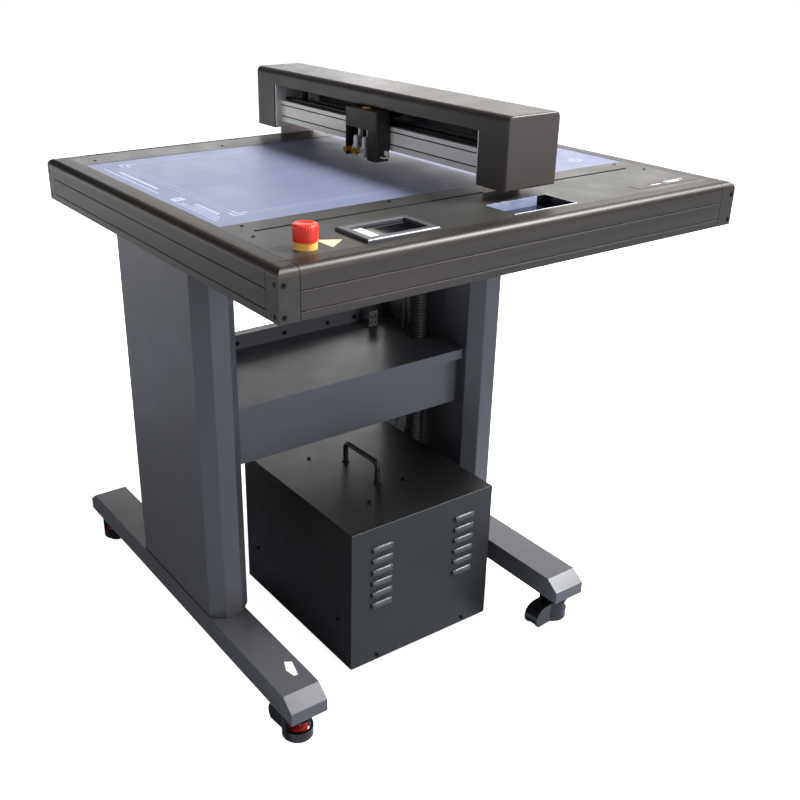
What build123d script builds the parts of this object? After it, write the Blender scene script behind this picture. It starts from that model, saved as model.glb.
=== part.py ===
from build123d import *
from math import radians, tan
import os

# Flatbed vinyl cutter on a two-leg stand, with its vacuum unit on the floor.
# Millimetres, +Z up, +X to the operator's right, the operator stands on the -Y side.
# Everything is drawn about the table's centre line and moved by TABLE_Y when it is
# written, so that the frame's origin is the middle of the footprint on the floor.

# ---------------------------------------------------------------- driving dimensions
TABLE_W = 1150.0          # table, left to right
TABLE_D = 1050.0          # table, front to back
TABLE_TOP = 1024.0        # height of the deck above the floor
TABLE_T = 93.0            # height of the frame rails
RAIL_W = 42.0             # width of the frame rails, and side of a corner cap
REAR_RAIL_W = 15.0        # the rear rail's top lip, behind the rear slot
EDGE_R = 15.0             # rounded top edge of the rails and caps
RAIL_WALL = 3.0
DECK_T = 3.0

SLOT_W = 9.0              # slots that the gantry's arms pass through
SLOT_LEFT, SLOT_RIGHT = -489.0, 479.0
FRONT_SLOT_Y = -299.5
REAR_SLOT_Y = 505.5
GROOVE_HEIGHTS = (15.5, 51.5)   # V grooves in the rails' outer faces, above the underside

MAT_LEFT, MAT_RIGHT = -527.0, 530.0
MAT_FRONT, MAT_REAR = -240.0, 405.0
MAT_T = 1.5

STAND_X = -160.0          # centre between the two legs
FOOT_OUT = 405.5          # outer face of a foot beam from STAND_X
FOOT_W, FOOT_L = 86.0, 1032.0
FOOT_BOTTOM, FOOT_TOP = 82.0, 135.0
FOOT_CHAMFER_Y, FOOT_CHAMFER_Z = 32.0, 24.0
LEG_OUT = 402.5           # outer face of a leg from STAND_X
LEG_W, LEG_D = 96.0, 392.0
LEG_CHAMFER = 28.0

SHELF_TOP = 610.0
SHELF_FRONT, SHELF_REAR = -156.0, 140.0
SHELF_LIP = 24.0
STRETCHER_SET_BACK = 20.0
STRETCHER_BOTTOM = 468.0
UPSTAND_TOP = 645.0

VAC_LEFT, VAC_RIGHT = -320.0, 72.0
VAC_FRONT, VAC_REAR = -368.0, 92.0
VAC_BOTTOM, VAC_TOP = 10.0, 360.0
VAC_SHEET = 1.5
LOUVRE_ROWS, LOUVRE_PITCH, LOUVRE_L = 6, 28.8, 60.0
LOUVRE_INSET = 51.0       # from the side of the box to a louvre column
LOUVRE_TOP_Z = 304.0

HOSE_R = 25.0
HOSE_X, HOSE_Y = 115.0, -18.0
ELBOW_Z = 240.0           # centre of the inlet on the vacuum unit's side
HOSE_FOOT = 300.0         # where the hose slips on the elbow

GANTRY_X0, GANTRY_X1 = 33.0, 172.0      # faces of the gantry covers
GANTRY_Y0, GANTRY_Y1 = -383.0, 589.0    # ends of the gantry covers
END_DEPTH = 86.0                        # one end cover, front to back
GANTRY_BOTTOM, GANTRY_TOP = 1041.5, 1188.0
COVER_LIP_Z = 1150.0                    # lower edge of the long cover's front lip
COVER_R = 13.0
ARM_W, ARM_T = 100.0, 5.0
PLATE_T = 6.0
BEAM_X0, BEAM_X1 = 50.0, 128.0
BEAM_Z0, BEAM_Z1 = 1058.0, 1110.0

HEAD_X0, HEAD_X1 = 8.0, 43.0
HEAD_Y0, HEAD_Y1 = 18.0, 140.0
HEAD_Z0, HEAD_Z1 = 1035.0, 1147.0
HEAD_SEAM_Z = 1104.0
TOOL_Y = (112.0, 78.0)    # the two tool positions, left one first

ESTOP_X, ESTOP_Y = -470.0, -441.0
BEZEL = (-366.0, -205.0, -477.0, -374.0)
TRAY = (-20.0, 147.0, -471.0, -381.0)
TRAY_DEPTH = 22.0

CASTER_INSET = 48.0       # caster axis from the end of a foot
CASTER_R = 33.0
WHEEL_R, WHEEL_W = 25.0, 18.0
WHEEL_OFFSET = 49.0
WHEEL_LIFT = 4.0          # the wheels hang clear while the pads carry the machine

SCREW_HEAD = 3.0          # height of a screw's head
BELT_T, BELT_W = 1.6, 8.0   # thickness and width of a drive belt

TABLE_Y = -(GANTRY_Y1 - TABLE_D / 2) / 2   # centres the footprint on the origin

# ---------------------------------------------------------------- derived places
TABLE_BOTTOM = TABLE_TOP - TABLE_T
LEFT, RIGHT = -TABLE_W / 2, TABLE_W / 2
FRONT, REAR = -TABLE_D / 2, TABLE_D / 2
GANTRY_XC = (GANTRY_X0 + GANTRY_X1) / 2


# ---------------------------------------------------------------- small helpers
def block(x0, x1, y0, y1, z0, z1):
    """A box given by its low and high faces."""
    middle = Pos((x0 + x1) / 2, (y0 + y1) / 2, (z0 + z1) / 2)
    return middle * Box(abs(x1 - x0), abs(y1 - y0), abs(z1 - z0))


def rod(radius, start, end):
    """A round bar between two points on a line along X, Y or Z."""
    axis = Vector(*end) - Vector(*start)
    plane = Plane(origin=start, z_dir=axis)
    return extrude(plane * Circle(radius), amount=axis.length)


def upright(radius, x, y, z0, z1):
    """A round bar standing on one place."""
    return rod(radius, (x, y, z0), (x, y, z1))


def along_x(radius, x0, x1, y, z):
    """A round bar lying along X."""
    return rod(radius, (x0, y, z), (x1, y, z))


def along_y(radius, x, y0, y1, z):
    """A round bar lying along Y."""
    return rod(radius, (x, y0, z), (x, y1, z))


def screw(head_r, shank_r, length, place, direction):
    """A socket screw whose head's top is at place and whose shank runs along direction."""
    into = Vector(*direction).normalized()
    top = Vector(*place)
    neck = top + into * SCREW_HEAD
    head = rod(head_r, tuple(top), tuple(neck))
    shank = rod(shank_r, tuple(neck), tuple(neck + into * length))
    socket = rod(head_r * 0.45, tuple(top), tuple(top + into * SCREW_HEAD / 2))
    return head + shank - socket


def belt_loop(plane, half_length, radius, width):
    """A flat belt round two pulleys of one radius, drawn in a plane through its near edge."""
    outer = SlotCenterToCenter(2 * half_length, 2 * (radius + BELT_T))
    inner = SlotCenterToCenter(2 * half_length, 2 * radius)
    return extrude(plane * (outer - inner), amount=width)


def write(name, *solids):
    """Move the solids into the part's frame and write them as one node."""
    moved = [Pos(0, TABLE_Y, 0) * solid for solid in solids]
    shape = moved[0] if len(moved) == 1 else Compound(children=moved)
    export_step(shape, f"parts/{name}.step")


os.makedirs("parts", exist_ok=True)


# ---------------------------------------------------------------- table frame
def rail_section(width):
    """Hollow rail section: outer face at 0, rounded top edge, two grooves in the outer face."""
    section = Rectangle(width, TABLE_T, align=(Align.MIN, Align.MIN))
    outer_top = section.vertices().sort_by_distance((0, TABLE_T))[0]
    section = fillet(outer_top, EDGE_R)
    for height in GROOVE_HEIGHTS:
        section -= Polygon((-1, height - 2.5), (1.6, height), (-1, height + 2.5), align=None)
    inside = Pos(RAIL_WALL + 1, RAIL_WALL) * Rectangle(
        width - 2 * RAIL_WALL - 1, TABLE_T - EDGE_R - RAIL_WALL, align=(Align.MIN, Align.MIN))
    return section - inside


def rail(start, inward, length):
    """A rail from its start corner, with its section's width running inward."""
    x_dir = Vector(*inward)
    plane = Plane(origin=start, x_dir=x_dir, z_dir=x_dir.cross(Vector(0, 0, 1)))
    return extrude(plane * rail_section(RAIL_W), amount=length)


SCREW_HEIGHTS = (TABLE_BOTTOM + 11.5, TABLE_BOTTOM + 66.0)
CAP_WALL = 6.0
CAP_SCREW_R = 4.6         # head of a cap screw


def cap_screw_places(sx, sy, height):
    """The two screws of one corner at one height: one in each outer face."""
    x_out, y_out = sx * TABLE_W / 2, sy * TABLE_D / 2
    front_face = ((x_out - sx * 9.5, y_out, height), (0, -sy, 0))
    side_face = ((x_out, y_out - sy * 13.0, height), (-sx, 0, 0))
    return (front_face, side_face)


def corner_cap(sx, sy):
    """A cast cap on the corner at side sx, sy, with its two outer top edges rounded."""
    x_out, y_out = sx * TABLE_W / 2, sy * TABLE_D / 2
    cap = block(x_out - sx * RAIL_W, x_out, y_out - sy * RAIL_W, y_out, TABLE_BOTTOM, TABLE_TOP)
    top_edges = cap.edges().filter_by_position(Axis.Z, TABLE_TOP - 0.1, TABLE_TOP + 0.1)
    outer = [e for e in top_edges
             if abs(e.center().X - x_out) < 0.1 or abs(e.center().Y - y_out) < 0.1]
    cap = fillet(outer, EDGE_R)
    cap -= block(x_out - sx * (RAIL_W + 1), x_out - sx * CAP_WALL, y_out - sy * (RAIL_W + 1),
                 y_out - sy * CAP_WALL, TABLE_BOTTOM + 4, TABLE_TOP - EDGE_R)
    for height in SCREW_HEIGHTS:
        for place, into in cap_screw_places(sx, sy, height):
            face, inward = Vector(*place), Vector(*into)
            cap -= rod(CAP_SCREW_R + 0.4, tuple(face - inward), tuple(face + inward * (SCREW_HEAD + 0.5)))
            cap -= rod(2.6, place, tuple(face + inward * 10))
    return cap


long_rail = TABLE_W - 2 * RAIL_W
side_rail = TABLE_D - 2 * RAIL_W
write("front_rail", rail((LEFT + RAIL_W, FRONT, TABLE_BOTTOM), (0, 1, 0), long_rail))
write("side_rails", rail((LEFT, REAR - RAIL_W, TABLE_BOTTOM), (1, 0, 0), side_rail),
      rail((RIGHT, FRONT + RAIL_W, TABLE_BOTTOM), (-1, 0, 0), side_rail))

# the rear rail is cut back at the top, where the rear slot runs along it, and its outer
# face is cut through for the mains module
INLET_X, SWITCH_X, IO_Z = 440.0, 500.0, TABLE_BOTTOM + 16
INLET_W, INLET_H = 24.0, 16.0
SWITCH_W, SWITCH_H = 15.0, 21.0
rear_rail = rail((RIGHT - RAIL_W, REAR, TABLE_BOTTOM), (0, -1, 0), long_rail)
rear_rail -= block(LEFT, RIGHT, REAR - RAIL_W - 1, REAR - REAR_RAIL_W, TABLE_BOTTOM + 30, TABLE_TOP + 1)
for x, width, height in ((INLET_X, INLET_W, INLET_H), (SWITCH_X, SWITCH_W, SWITCH_H)):
    rear_rail -= block(x - width / 2 - 2, x + width / 2 + 2, REAR - 6, REAR + 1,
                       IO_Z - height / 2 - 2, IO_Z + height / 2 + 2)
write("rear_rail", rear_rail)

corners = [(sx, sy) for sx in (-1, 1) for sy in (-1, 1)]
write("corner_caps", *[corner_cap(sx, sy) for sx, sy in corners])
screws = []               # every socket screw of the frame, deck, stand and vacuum unit
for sx, sy in corners:
    for height in SCREW_HEIGHTS:
        for place, into in cap_screw_places(sx, sy, height):
            sunk = tuple(Vector(*place) + Vector(*into) * 0.5)
            screws.append(screw(CAP_SCREW_R, 2.6, 5, sunk, into))

# ---------------------------------------------------------------- deck, bed and mat
INNER_LEFT, INNER_RIGHT = LEFT + RAIL_W, RIGHT - RAIL_W
INNER_FRONT = FRONT + RAIL_W
FRONT_SLOT = (FRONT_SLOT_Y - SLOT_W / 2, FRONT_SLOT_Y + SLOT_W / 2)
REAR_SLOT = (REAR_SLOT_Y - SLOT_W / 2, REAR_SLOT_Y + SLOT_W / 2)
DECK_BOTTOM = TABLE_TOP - DECK_T
PANEL_SCREWS = [(x, -329.0) for x in (-508.0, 508.0)]
DECK_SCREWS = [(x, y) for x in (-490.0, -157.0, 157.0, 490.0) for y in (-256.0, 440.0)]
DECK_SCREW_R = 3.8


def counterbored(sheet, places):
    """The deck or panel sheet with a counterbored hole at each screw."""
    for x, y in places:
        sheet -= upright(2.0, x, y, DECK_BOTTOM - 1, TABLE_TOP + 1)
        sheet -= upright(DECK_SCREW_R + 0.3, x, y, TABLE_TOP - 2, TABLE_TOP + 1)
    return sheet


# front panel with the display's window, the tray's opening and the stop button's hole
panel = block(INNER_LEFT, INNER_RIGHT, INNER_FRONT, FRONT_SLOT[0], DECK_BOTTOM, TABLE_TOP)
panel -= block(BEZEL[0] + 8, BEZEL[1] - 8, BEZEL[2] + 8, BEZEL[3] - 8, DECK_BOTTOM - 1, TABLE_TOP + 1)
panel -= block(*TRAY, DECK_BOTTOM - 1, TABLE_TOP + 1)
panel -= upright(11.2, ESTOP_X, ESTOP_Y, DECK_BOTTOM - 1, TABLE_TOP + 1)
write("control_panel", counterbored(panel, PANEL_SCREWS))

# deck sheet round the mat, with tabs that close both slots at their ends
deck = block(INNER_LEFT, INNER_RIGHT, FRONT_SLOT[1], REAR_SLOT[0], DECK_BOTTOM, TABLE_TOP)
for x0, x1 in ((INNER_LEFT, SLOT_LEFT), (SLOT_RIGHT, INNER_RIGHT)):
    deck += block(x0, x1, FRONT_SLOT[0], FRONT_SLOT[1], DECK_BOTTOM, TABLE_TOP)
    deck += block(x0, x1, REAR_SLOT[0], REAR - REAR_RAIL_W, DECK_BOTTOM, TABLE_TOP)
deck -= block(MAT_LEFT, MAT_RIGHT, MAT_FRONT, MAT_REAR, DECK_BOTTOM - 1, TABLE_TOP + 1)
write("deck_sheet", counterbored(deck, DECK_SCREWS))
screws += [screw(DECK_SCREW_R, 2.0, 4, (x, y, TABLE_TOP + 1), (0, 0, -1))
           for x, y in DECK_SCREWS + PANEL_SCREWS]

MAT_SUNK = 0.6            # the mat's face lies this far below the deck's
BED_TOP = TABLE_TOP - MAT_T - MAT_SUNK
write("cutting_mat", block(MAT_LEFT, MAT_RIGHT, MAT_FRONT, MAT_REAR, BED_TOP, BED_TOP + MAT_T))

# vacuum bed: a perforated top over a shallow chamber, flanges under the deck, and a neck
# that comes out below the table for the hose
BED_BOTTOM = BED_TOP - 34.0
BED_WALL = 3.0
HOSE_BORE = HOSE_R - 3.5
NECK_END = TABLE_BOTTOM - 6.0
bed = block(MAT_LEFT, MAT_RIGHT, MAT_FRONT, MAT_REAR, BED_BOTTOM, BED_TOP)
bed -= block(MAT_LEFT + BED_WALL, MAT_RIGHT - BED_WALL, MAT_FRONT + BED_WALL,
             MAT_REAR - BED_WALL, BED_BOTTOM + BED_WALL, BED_TOP - BED_WALL)
bed += block(MAT_LEFT, MAT_RIGHT, FRONT_SLOT[1] + 10, MAT_FRONT, DECK_BOTTOM - 6, DECK_BOTTOM)
bed += block(MAT_LEFT, MAT_RIGHT, MAT_REAR, REAR_SLOT[0] - 6, DECK_BOTTOM - 6, DECK_BOTTOM)
bed += upright(HOSE_R + 2, HOSE_X, HOSE_Y, NECK_END, BED_BOTTOM)
bed -= upright(HOSE_BORE, HOSE_X, HOSE_Y, NECK_END - 1, BED_BOTTOM + BED_WALL + 1)
for x in (-400.0, -200.0, 0.0, 200.0, 400.0):
    for y in (-140.0, 80.0, 300.0):
        bed -= upright(2.5, x, y, BED_TOP - BED_WALL - 1, BED_TOP + 1)
for x, y in DECK_SCREWS:
    bed -= upright(2.0, x, y, DECK_BOTTOM - 7, DECK_BOTTOM + 1)
write("vacuum_bed", bed)

# sheet under the table, with the holes for the neck and for the signal cable's bush
CABLE = [(105.0, 25.0, 921.0), (105.0, 25.0, 880.0), (107.5, 24.6, 825.0), (108.8, 24.2, 768.0),
         (108.4, 24.4, 710.0), (106.6, 25.0, 655.0), (105.0, 26.5, 600.0), (105.6, 29.0, 545.0),
         (107.5, 33.0, 490.0), (109.0, 37.0, 437.0), (108.5, 39.5, 390.0), (106.0, 40.0, 357.0),
         (102.0, 40.0, 338.5), (94.0, 40.0, 333.0), (84.0, 40.0, 333.0)]
CABLE_R = 2.0
BUSH_R = 7.0
pan = block(INNER_LEFT, INNER_RIGHT, INNER_FRONT, REAR - RAIL_W, TABLE_BOTTOM, TABLE_BOTTOM + 2)
pan -= upright(HOSE_R + 6, HOSE_X, HOSE_Y, TABLE_BOTTOM - 1, TABLE_BOTTOM + 3)
pan += upright(BUSH_R, CABLE[0][0], CABLE[0][1], CABLE[0][2], TABLE_BOTTOM)
write("bottom_pan", pan)

# display: raised bezel round a flat touch panel
bezel = block(BEZEL[0], BEZEL[1], BEZEL[2], BEZEL[3], TABLE_TOP, TABLE_TOP + 6)
bezel = chamfer(bezel.edges().group_by(Axis.Z)[-1], 2.5)
bezel += block(BEZEL[0] + 9, BEZEL[1] - 9, BEZEL[2] + 9, BEZEL[3] - 9, TABLE_TOP - 8, TABLE_TOP)
bezel -= block(BEZEL[0] + 16, BEZEL[1] - 16, BEZEL[2] + 14, BEZEL[3] - 14, TABLE_TOP - 9, TABLE_TOP + 7)
bezel -= block(BEZEL[0] + 12, BEZEL[1] - 12, BEZEL[2] + 12, BEZEL[3] - 12, TABLE_TOP - 9, TABLE_TOP)
write("display_bezel", bezel)
write("display_screen", block(BEZEL[0] + 12, BEZEL[1] - 12, BEZEL[2] + 12, BEZEL[3] - 12,
                              TABLE_TOP - 5, TABLE_TOP))

# tray sunk in the panel
tray = block(*TRAY, TABLE_TOP - TRAY_DEPTH, TABLE_TOP)
tray -= block(TRAY[0] + 2, TRAY[1] - 2, TRAY[2] + 2, TRAY[3] - 2, TABLE_TOP - TRAY_DEPTH + 2, TABLE_TOP + 1)
write("tool_tray", tray)

# emergency stop: yellow collar with its contact block below the panel, red head above
COLLAR_TOP = TABLE_TOP + 13
STOP_TRAVEL = 4.0
collar = upright(21.0, ESTOP_X, ESTOP_Y, TABLE_TOP, COLLAR_TOP)
collar = chamfer(collar.edges().group_by(Axis.Z)[-1], 2.0)
collar += upright(11.0, ESTOP_X, ESTOP_Y, TABLE_TOP - 12, TABLE_TOP)
collar += block(ESTOP_X - 15, ESTOP_X + 15, ESTOP_Y - 15, ESTOP_Y + 15, TABLE_TOP - 45, TABLE_TOP - 12)
collar -= upright(8.0, ESTOP_X, ESTOP_Y, TABLE_TOP - 8, COLLAR_TOP + 1)
write("estop_collar", collar)
skirt = COLLAR_TOP + STOP_TRAVEL + 0.5
button = upright(20.5, ESTOP_X, ESTOP_Y, skirt, skirt + 12)
button += upright(23.0, ESTOP_X, ESTOP_Y, skirt + 12, skirt + 26)
button = fillet(button.edges().group_by(Axis.Z)[-1], 4.0)
button += upright(7.6, ESTOP_X, ESTOP_Y, TABLE_TOP, skirt)
write("estop_button", button)

# mains module in the rear rail: appliance socket and the rocker's well in one moulding
module = block(INLET_X - 25, SWITCH_X + 14, REAR, REAR + 2.5, IO_Z - 14, IO_Z + 14)
for x, width, height, deep in ((INLET_X, INLET_W, INLET_H, 18), (SWITCH_X, SWITCH_W, SWITCH_H, 13)):
    module += block(x - width / 2 - 2, x + width / 2 + 2, REAR - deep - 2, REAR,
                    IO_Z - height / 2 - 2, IO_Z + height / 2 + 2)
for x, width, height, deep in ((INLET_X, INLET_W, INLET_H, 18), (SWITCH_X, SWITCH_W, SWITCH_H, 13)):
    module -= block(x - width / 2, x + width / 2, REAR - deep, REAR + 3,
                    IO_Z - height / 2, IO_Z + height / 2)
write("power_inlet", module)
rocker = block(SWITCH_X - 6.6, SWITCH_X + 6.6, REAR - 6.5, REAR + 2.8, IO_Z - 9, IO_Z + 9)
write("power_rocker", fillet(rocker.edges().filter_by(Axis.X), 1.2))

# ---------------------------------------------------------------- drive under the deck
GUIDE_TOP = 962.0         # top of the linear guides' rails
GUIDE_BASE = GUIDE_TOP - 14.0
GUIDE_W = 15.0
PAN_TOP = TABLE_BOTTOM + 2
FRONT_GUIDE_Y = FRONT_SLOT_Y + 20
REAR_GUIDE_Y = REAR_SLOT_Y - 50.5
guides = []
for y in (FRONT_GUIDE_Y, REAR_GUIDE_Y):
    guide = block(-520, 520, y - GUIDE_W / 2, y + GUIDE_W / 2, GUIDE_BASE, GUIDE_TOP)
    guides.append(guide + block(-522, 522, y - 14, y + 14, PAN_TOP, GUIDE_BASE))
write("guide_rails", *guides)

# two shafts across the table, one at each end, carry the pulleys of both travel belts
SHAFT_X, SHAFT_Z, SHAFT_R, PULLEY_R = 505.0, 964.0, 5.0, 12.0
RUNNING = 0.05            # radial clearance of a shaft in its bearing
APART = 0.3               # between a pulley and its belt
BELT_YS = (FRONT_GUIDE_Y + 30, REAR_GUIDE_Y - 30)


def pulley_shaft(x):
    """A shaft along Y with a pulley for each travel belt."""
    turned = along_y(SHAFT_R, x, BELT_YS[0] - 20, BELT_YS[1] + 20, SHAFT_Z)
    for y in BELT_YS:
        turned += along_y(PULLEY_R, x, y - 6, y + 6, SHAFT_Z)
    return turned


def bearing_block(x, y):
    """A pillow block standing on the bottom pan."""
    body = block(x - 14, x + 14, y - 6, y + 6, PAN_TOP, SHAFT_Z + 13)
    return body - along_y(SHAFT_R + RUNNING, x, y - 7, y + 7, SHAFT_Z)


write("drive_shaft", pulley_shaft(SHAFT_X))
write("idler_shaft", pulley_shaft(-SHAFT_X))
write("shaft_bearings", *[bearing_block(x, y) for x in (-SHAFT_X, SHAFT_X)
                          for y in (BELT_YS[0] + 14, BELT_YS[1] - 14)])
write("travel_belts", *[
    belt_loop(Plane(origin=(0, y + BELT_W / 2, SHAFT_Z), x_dir=(1, 0, 0), z_dir=(0, -1, 0)),
              SHAFT_X, PULLEY_R + APART, BELT_W) for y in BELT_YS])
MOTOR = 21.0              # half the side of a drive motor
motor = block(SHAFT_X - MOTOR, SHAFT_X + MOTOR, 60, 130, SHAFT_Z - MOTOR, SHAFT_Z + MOTOR)
motor += block(SHAFT_X - MOTOR, SHAFT_X + MOTOR, 60, 66, PAN_TOP, SHAFT_Z)
motor -= along_y(SHAFT_R + RUNNING, SHAFT_X, 50, 140, SHAFT_Z)
write("travel_motor", motor)


# ---------------------------------------------------------------- stand
def leg(side):
    """Sheet-steel leg column: a rectangle with cut corners, hollow, from foot to table."""
    xc = STAND_X + side * (LEG_OUT - LEG_W / 2)
    outline = chamfer(Rectangle(LEG_W, LEG_D).vertices(), LEG_CHAMFER)
    inner = offset(outline, -2.5, kind=Kind.INTERSECTION)
    column = extrude(Pos(xc, 0, FOOT_TOP) * outline, amount=TABLE_BOTTOM - FOOT_TOP)
    return column - extrude(Pos(xc, 0, FOOT_TOP + 5) * inner, amount=TABLE_BOTTOM - FOOT_TOP - 10)


def foot(side):
    """Hollow foot beam along Y with its upper end edges cut back and a plate over each caster."""
    x_low = STAND_X + side * FOOT_OUT - (FOOT_W if side > 0 else 0)
    half = FOOT_L / 2
    outline = Polygon((-half, FOOT_BOTTOM), (half, FOOT_BOTTOM), (half, FOOT_TOP - FOOT_CHAMFER_Z),
                      (half - FOOT_CHAMFER_Y, FOOT_TOP), (FOOT_CHAMFER_Y - half, FOOT_TOP),
                      (-half, FOOT_TOP - FOOT_CHAMFER_Z), align=None)
    plane = Plane(origin=(x_low, 0, 0), x_dir=(0, 1, 0), z_dir=(1, 0, 0))
    beam = extrude(plane * outline, amount=FOOT_W)
    beam -= block(x_low + 3, x_low + FOOT_W - 3, 70 - half, half - 70, FOOT_BOTTOM + 3, FOOT_TOP - 3)
    for end in (-1, 1):
        beam += upright(26, x_low + FOOT_W / 2, end * (half - CASTER_INSET), FOOT_BOTTOM - 2, FOOT_BOTTOM)
    return beam


write("legs", leg(-1), leg(1))
write("feet", foot(-1), foot(1))

SHELF_X0 = STAND_X - LEG_OUT + LEG_W
SHELF_X1 = STAND_X + LEG_OUT - LEG_W
SHEET = 2.0               # thickness of the stand's folded sheets
HOSE = [(HOSE_X, HOSE_Y, NECK_END), (HOSE_X, HOSE_Y, 820.0), (118.0, -16.5, 640.0),
        (118.5, -16.0, 480.0), (HOSE_X, HOSE_Y, 370.0), (HOSE_X, HOSE_Y, HOSE_FOOT)]
shelf = block(SHELF_X0, SHELF_X1, SHELF_FRONT, SHELF_REAR, SHELF_TOP - SHEET, SHELF_TOP)
shelf += block(SHELF_X0, SHELF_X1, SHELF_FRONT, SHELF_FRONT + SHEET, SHELF_TOP - SHELF_LIP, SHELF_TOP)
for (x, y, _), hole_r in ((HOSE[2], HOSE_R + 7), (CABLE[6], CABLE_R + 3)):
    shelf -= upright(hole_r, x, y, SHELF_TOP - 5, SHELF_TOP + 5)
write("shelf", shelf)


def stretcher(face_y, back_y, z0, z1):
    """A folded sheet beam between the legs: a front face with flanges turned back all round."""
    beam = block(SHELF_X0, SHELF_X1, face_y, back_y, z0, z1)
    return beam - block(SHELF_X0 + SHEET, SHELF_X1 - SHEET, face_y + SHEET, back_y + 1,
                        z0 + SHEET, z1 - SHEET)


SHELF_SCREW_Z = UPSTAND_TOP - 20
SHELF_SCREW_X = (-430.0, -300.0, -170.0, -45.0, 36.0)
front_beam = stretcher(SHELF_FRONT + STRETCHER_SET_BACK, SHELF_FRONT + STRETCHER_SET_BACK + 32,
                       STRETCHER_BOTTOM, SHELF_TOP - SHEET)
rear_beam = stretcher(SHELF_REAR, SHELF_REAR + 25, STRETCHER_BOTTOM + 40, UPSTAND_TOP)
for x in SHELF_SCREW_X:
    rear_beam -= along_y(2.5, x, SHELF_REAR - 1, SHELF_REAR + 5, SHELF_SCREW_Z)
    screws.append(screw(5, 2.5, 6, (x, SHELF_REAR - SCREW_HEAD, SHELF_SCREW_Z), (0, 1, 0)))
write("stretchers", front_beam, rear_beam)

# ---------------------------------------------------------------- vacuum unit
LOUVRE_R = 8.0
LOUVRE_OUT = 6.0          # how far a hood stands out of the front
HOOD_LOW = 3.5            # a hood's open underside, below its centre


def louvre_hood(x, z):
    """A pressed hood over one louvre: half a round bar with rounded ends, open below."""
    centre_y = VAC_FRONT + LOUVRE_R - LOUVRE_OUT
    hood = along_x(LOUVRE_R, x, x + LOUVRE_L, centre_y, z)
    hood = fillet(hood.edges().filter_by(GeomType.CIRCLE), 5)
    return hood - block(x - 1, x + LOUVRE_L + 1, VAC_FRONT - 9, VAC_FRONT + 12, z - 12, z - HOOD_LOW)


def louvre_slit(x, z):
    """The way in under the hood, through the front sheet."""
    return block(x + 5, x + LOUVRE_L - 5, VAC_FRONT - 3.6, VAC_FRONT + 9, z - HOOD_LOW - 2, z + 3)


cover = block(VAC_LEFT, VAC_RIGHT, VAC_FRONT, VAC_REAR, VAC_BOTTOM + 2, VAC_TOP)
cover = fillet(cover.edges().group_by(Axis.Z)[-1], 1.4)
columns = (VAC_LEFT + LOUVRE_INSET, VAC_RIGHT - LOUVRE_INSET - LOUVRE_L)
louvres = [(x, LOUVRE_TOP_Z - row * LOUVRE_PITCH) for x in columns for row in range(LOUVRE_ROWS)]
for x, z in louvres:
    cover += louvre_hood(x, z)
cover -= block(VAC_LEFT + VAC_SHEET, VAC_RIGHT - VAC_SHEET, VAC_FRONT + VAC_SHEET,
               VAC_REAR - VAC_SHEET, VAC_BOTTOM, VAC_TOP - VAC_SHEET)
for x, z in louvres:
    cover -= louvre_slit(x, z)
cover -= along_x(HOSE_R + 1, VAC_RIGHT - 5, VAC_RIGHT + 5, HOSE_Y, ELBOW_Z)
cover += along_x(BUSH_R, VAC_RIGHT, CABLE[-1][0], CABLE[-1][1], CABLE[-1][2])
HANDLE_X, HANDLE_Y, HANDLE_SPAN, HANDLE_H = -138.0, -143.0, 128.0, 56.0
HANDLE_R = 6.0
VAC_SCREWS = [((x, y, VAC_TOP + SCREW_HEAD), (0, 0, -1)) for x, y in
              ((-205, -270), (-82, -230), (-205, -20), (-82, -20))]
VAC_SCREWS += [((x, VAC_FRONT - SCREW_HEAD, 22), (0, 1, 0)) for x in (-249, 0)]
VAC_SCREWS += [((VAC_LEFT - SCREW_HEAD, y, 117), (1, 0, 0)) for y in (-315, 40)]
for place, into in VAC_SCREWS:
    cover -= rod(2.0, place, tuple(Vector(*place) + Vector(*into) * 12))
    screws.append(screw(4.5, 2.0, 4, place, into))
write("vacuum_cover", cover)
write("socket_screws", *screws)

base = block(VAC_LEFT, VAC_RIGHT, VAC_FRONT, VAC_REAR, VAC_BOTTOM, VAC_BOTTOM + 2)
for x in (VAC_LEFT + 40, VAC_RIGHT - 40):
    for y in (VAC_FRONT + 40, VAC_REAR - 40):
        base += upright(16, x, y, 0, VAC_BOTTOM)
write("vacuum_base", base)

handle_ends = [(HANDLE_X, HANDLE_Y + side * HANDLE_SPAN / 2) for side in (-1, 1)]
handle_path = FilletPolyline(
    (*handle_ends[0], VAC_TOP), (*handle_ends[0], VAC_TOP + HANDLE_H - HANDLE_R),
    (*handle_ends[1], VAC_TOP + HANDLE_H - HANDLE_R), (*handle_ends[1], VAC_TOP), radius=14)
handle = sweep(Plane(origin=handle_path @ 0, z_dir=handle_path % 0) * Circle(HANDLE_R), path=handle_path)
for x, y in handle_ends:
    handle += upright(HANDLE_R + 3, x, y, VAC_TOP, VAC_TOP + 3)
write("vacuum_handle", handle)

# blower: a motor standing on the base with a scroll on top, ducted to the elbow
BLOWER_X, BLOWER_Y = -110.0, HOSE_Y - 70
SCROLL = (192.0, 288.0)   # underside and top of the scroll
SCROLL_R = 95.0
ELBOW_START = VAC_RIGHT - 12
blower_motor = upright(62, BLOWER_X, BLOWER_Y, VAC_BOTTOM + 2, SCROLL[0] - 6)
blower_motor += upright(70, BLOWER_X, BLOWER_Y, SCROLL[0] - 6, SCROLL[0])
blower_motor -= upright(6 + RUNNING, BLOWER_X, BLOWER_Y, SCROLL[0] - 42, SCROLL[0] + 1)
scroll = upright(SCROLL_R, BLOWER_X, BLOWER_Y, *SCROLL)
scroll += along_x(27, BLOWER_X, ELBOW_START, HOSE_Y, ELBOW_Z)
scroll -= upright(SCROLL_R - 4, BLOWER_X, BLOWER_Y, SCROLL[0] + 4, SCROLL[1] - 4)
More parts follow.
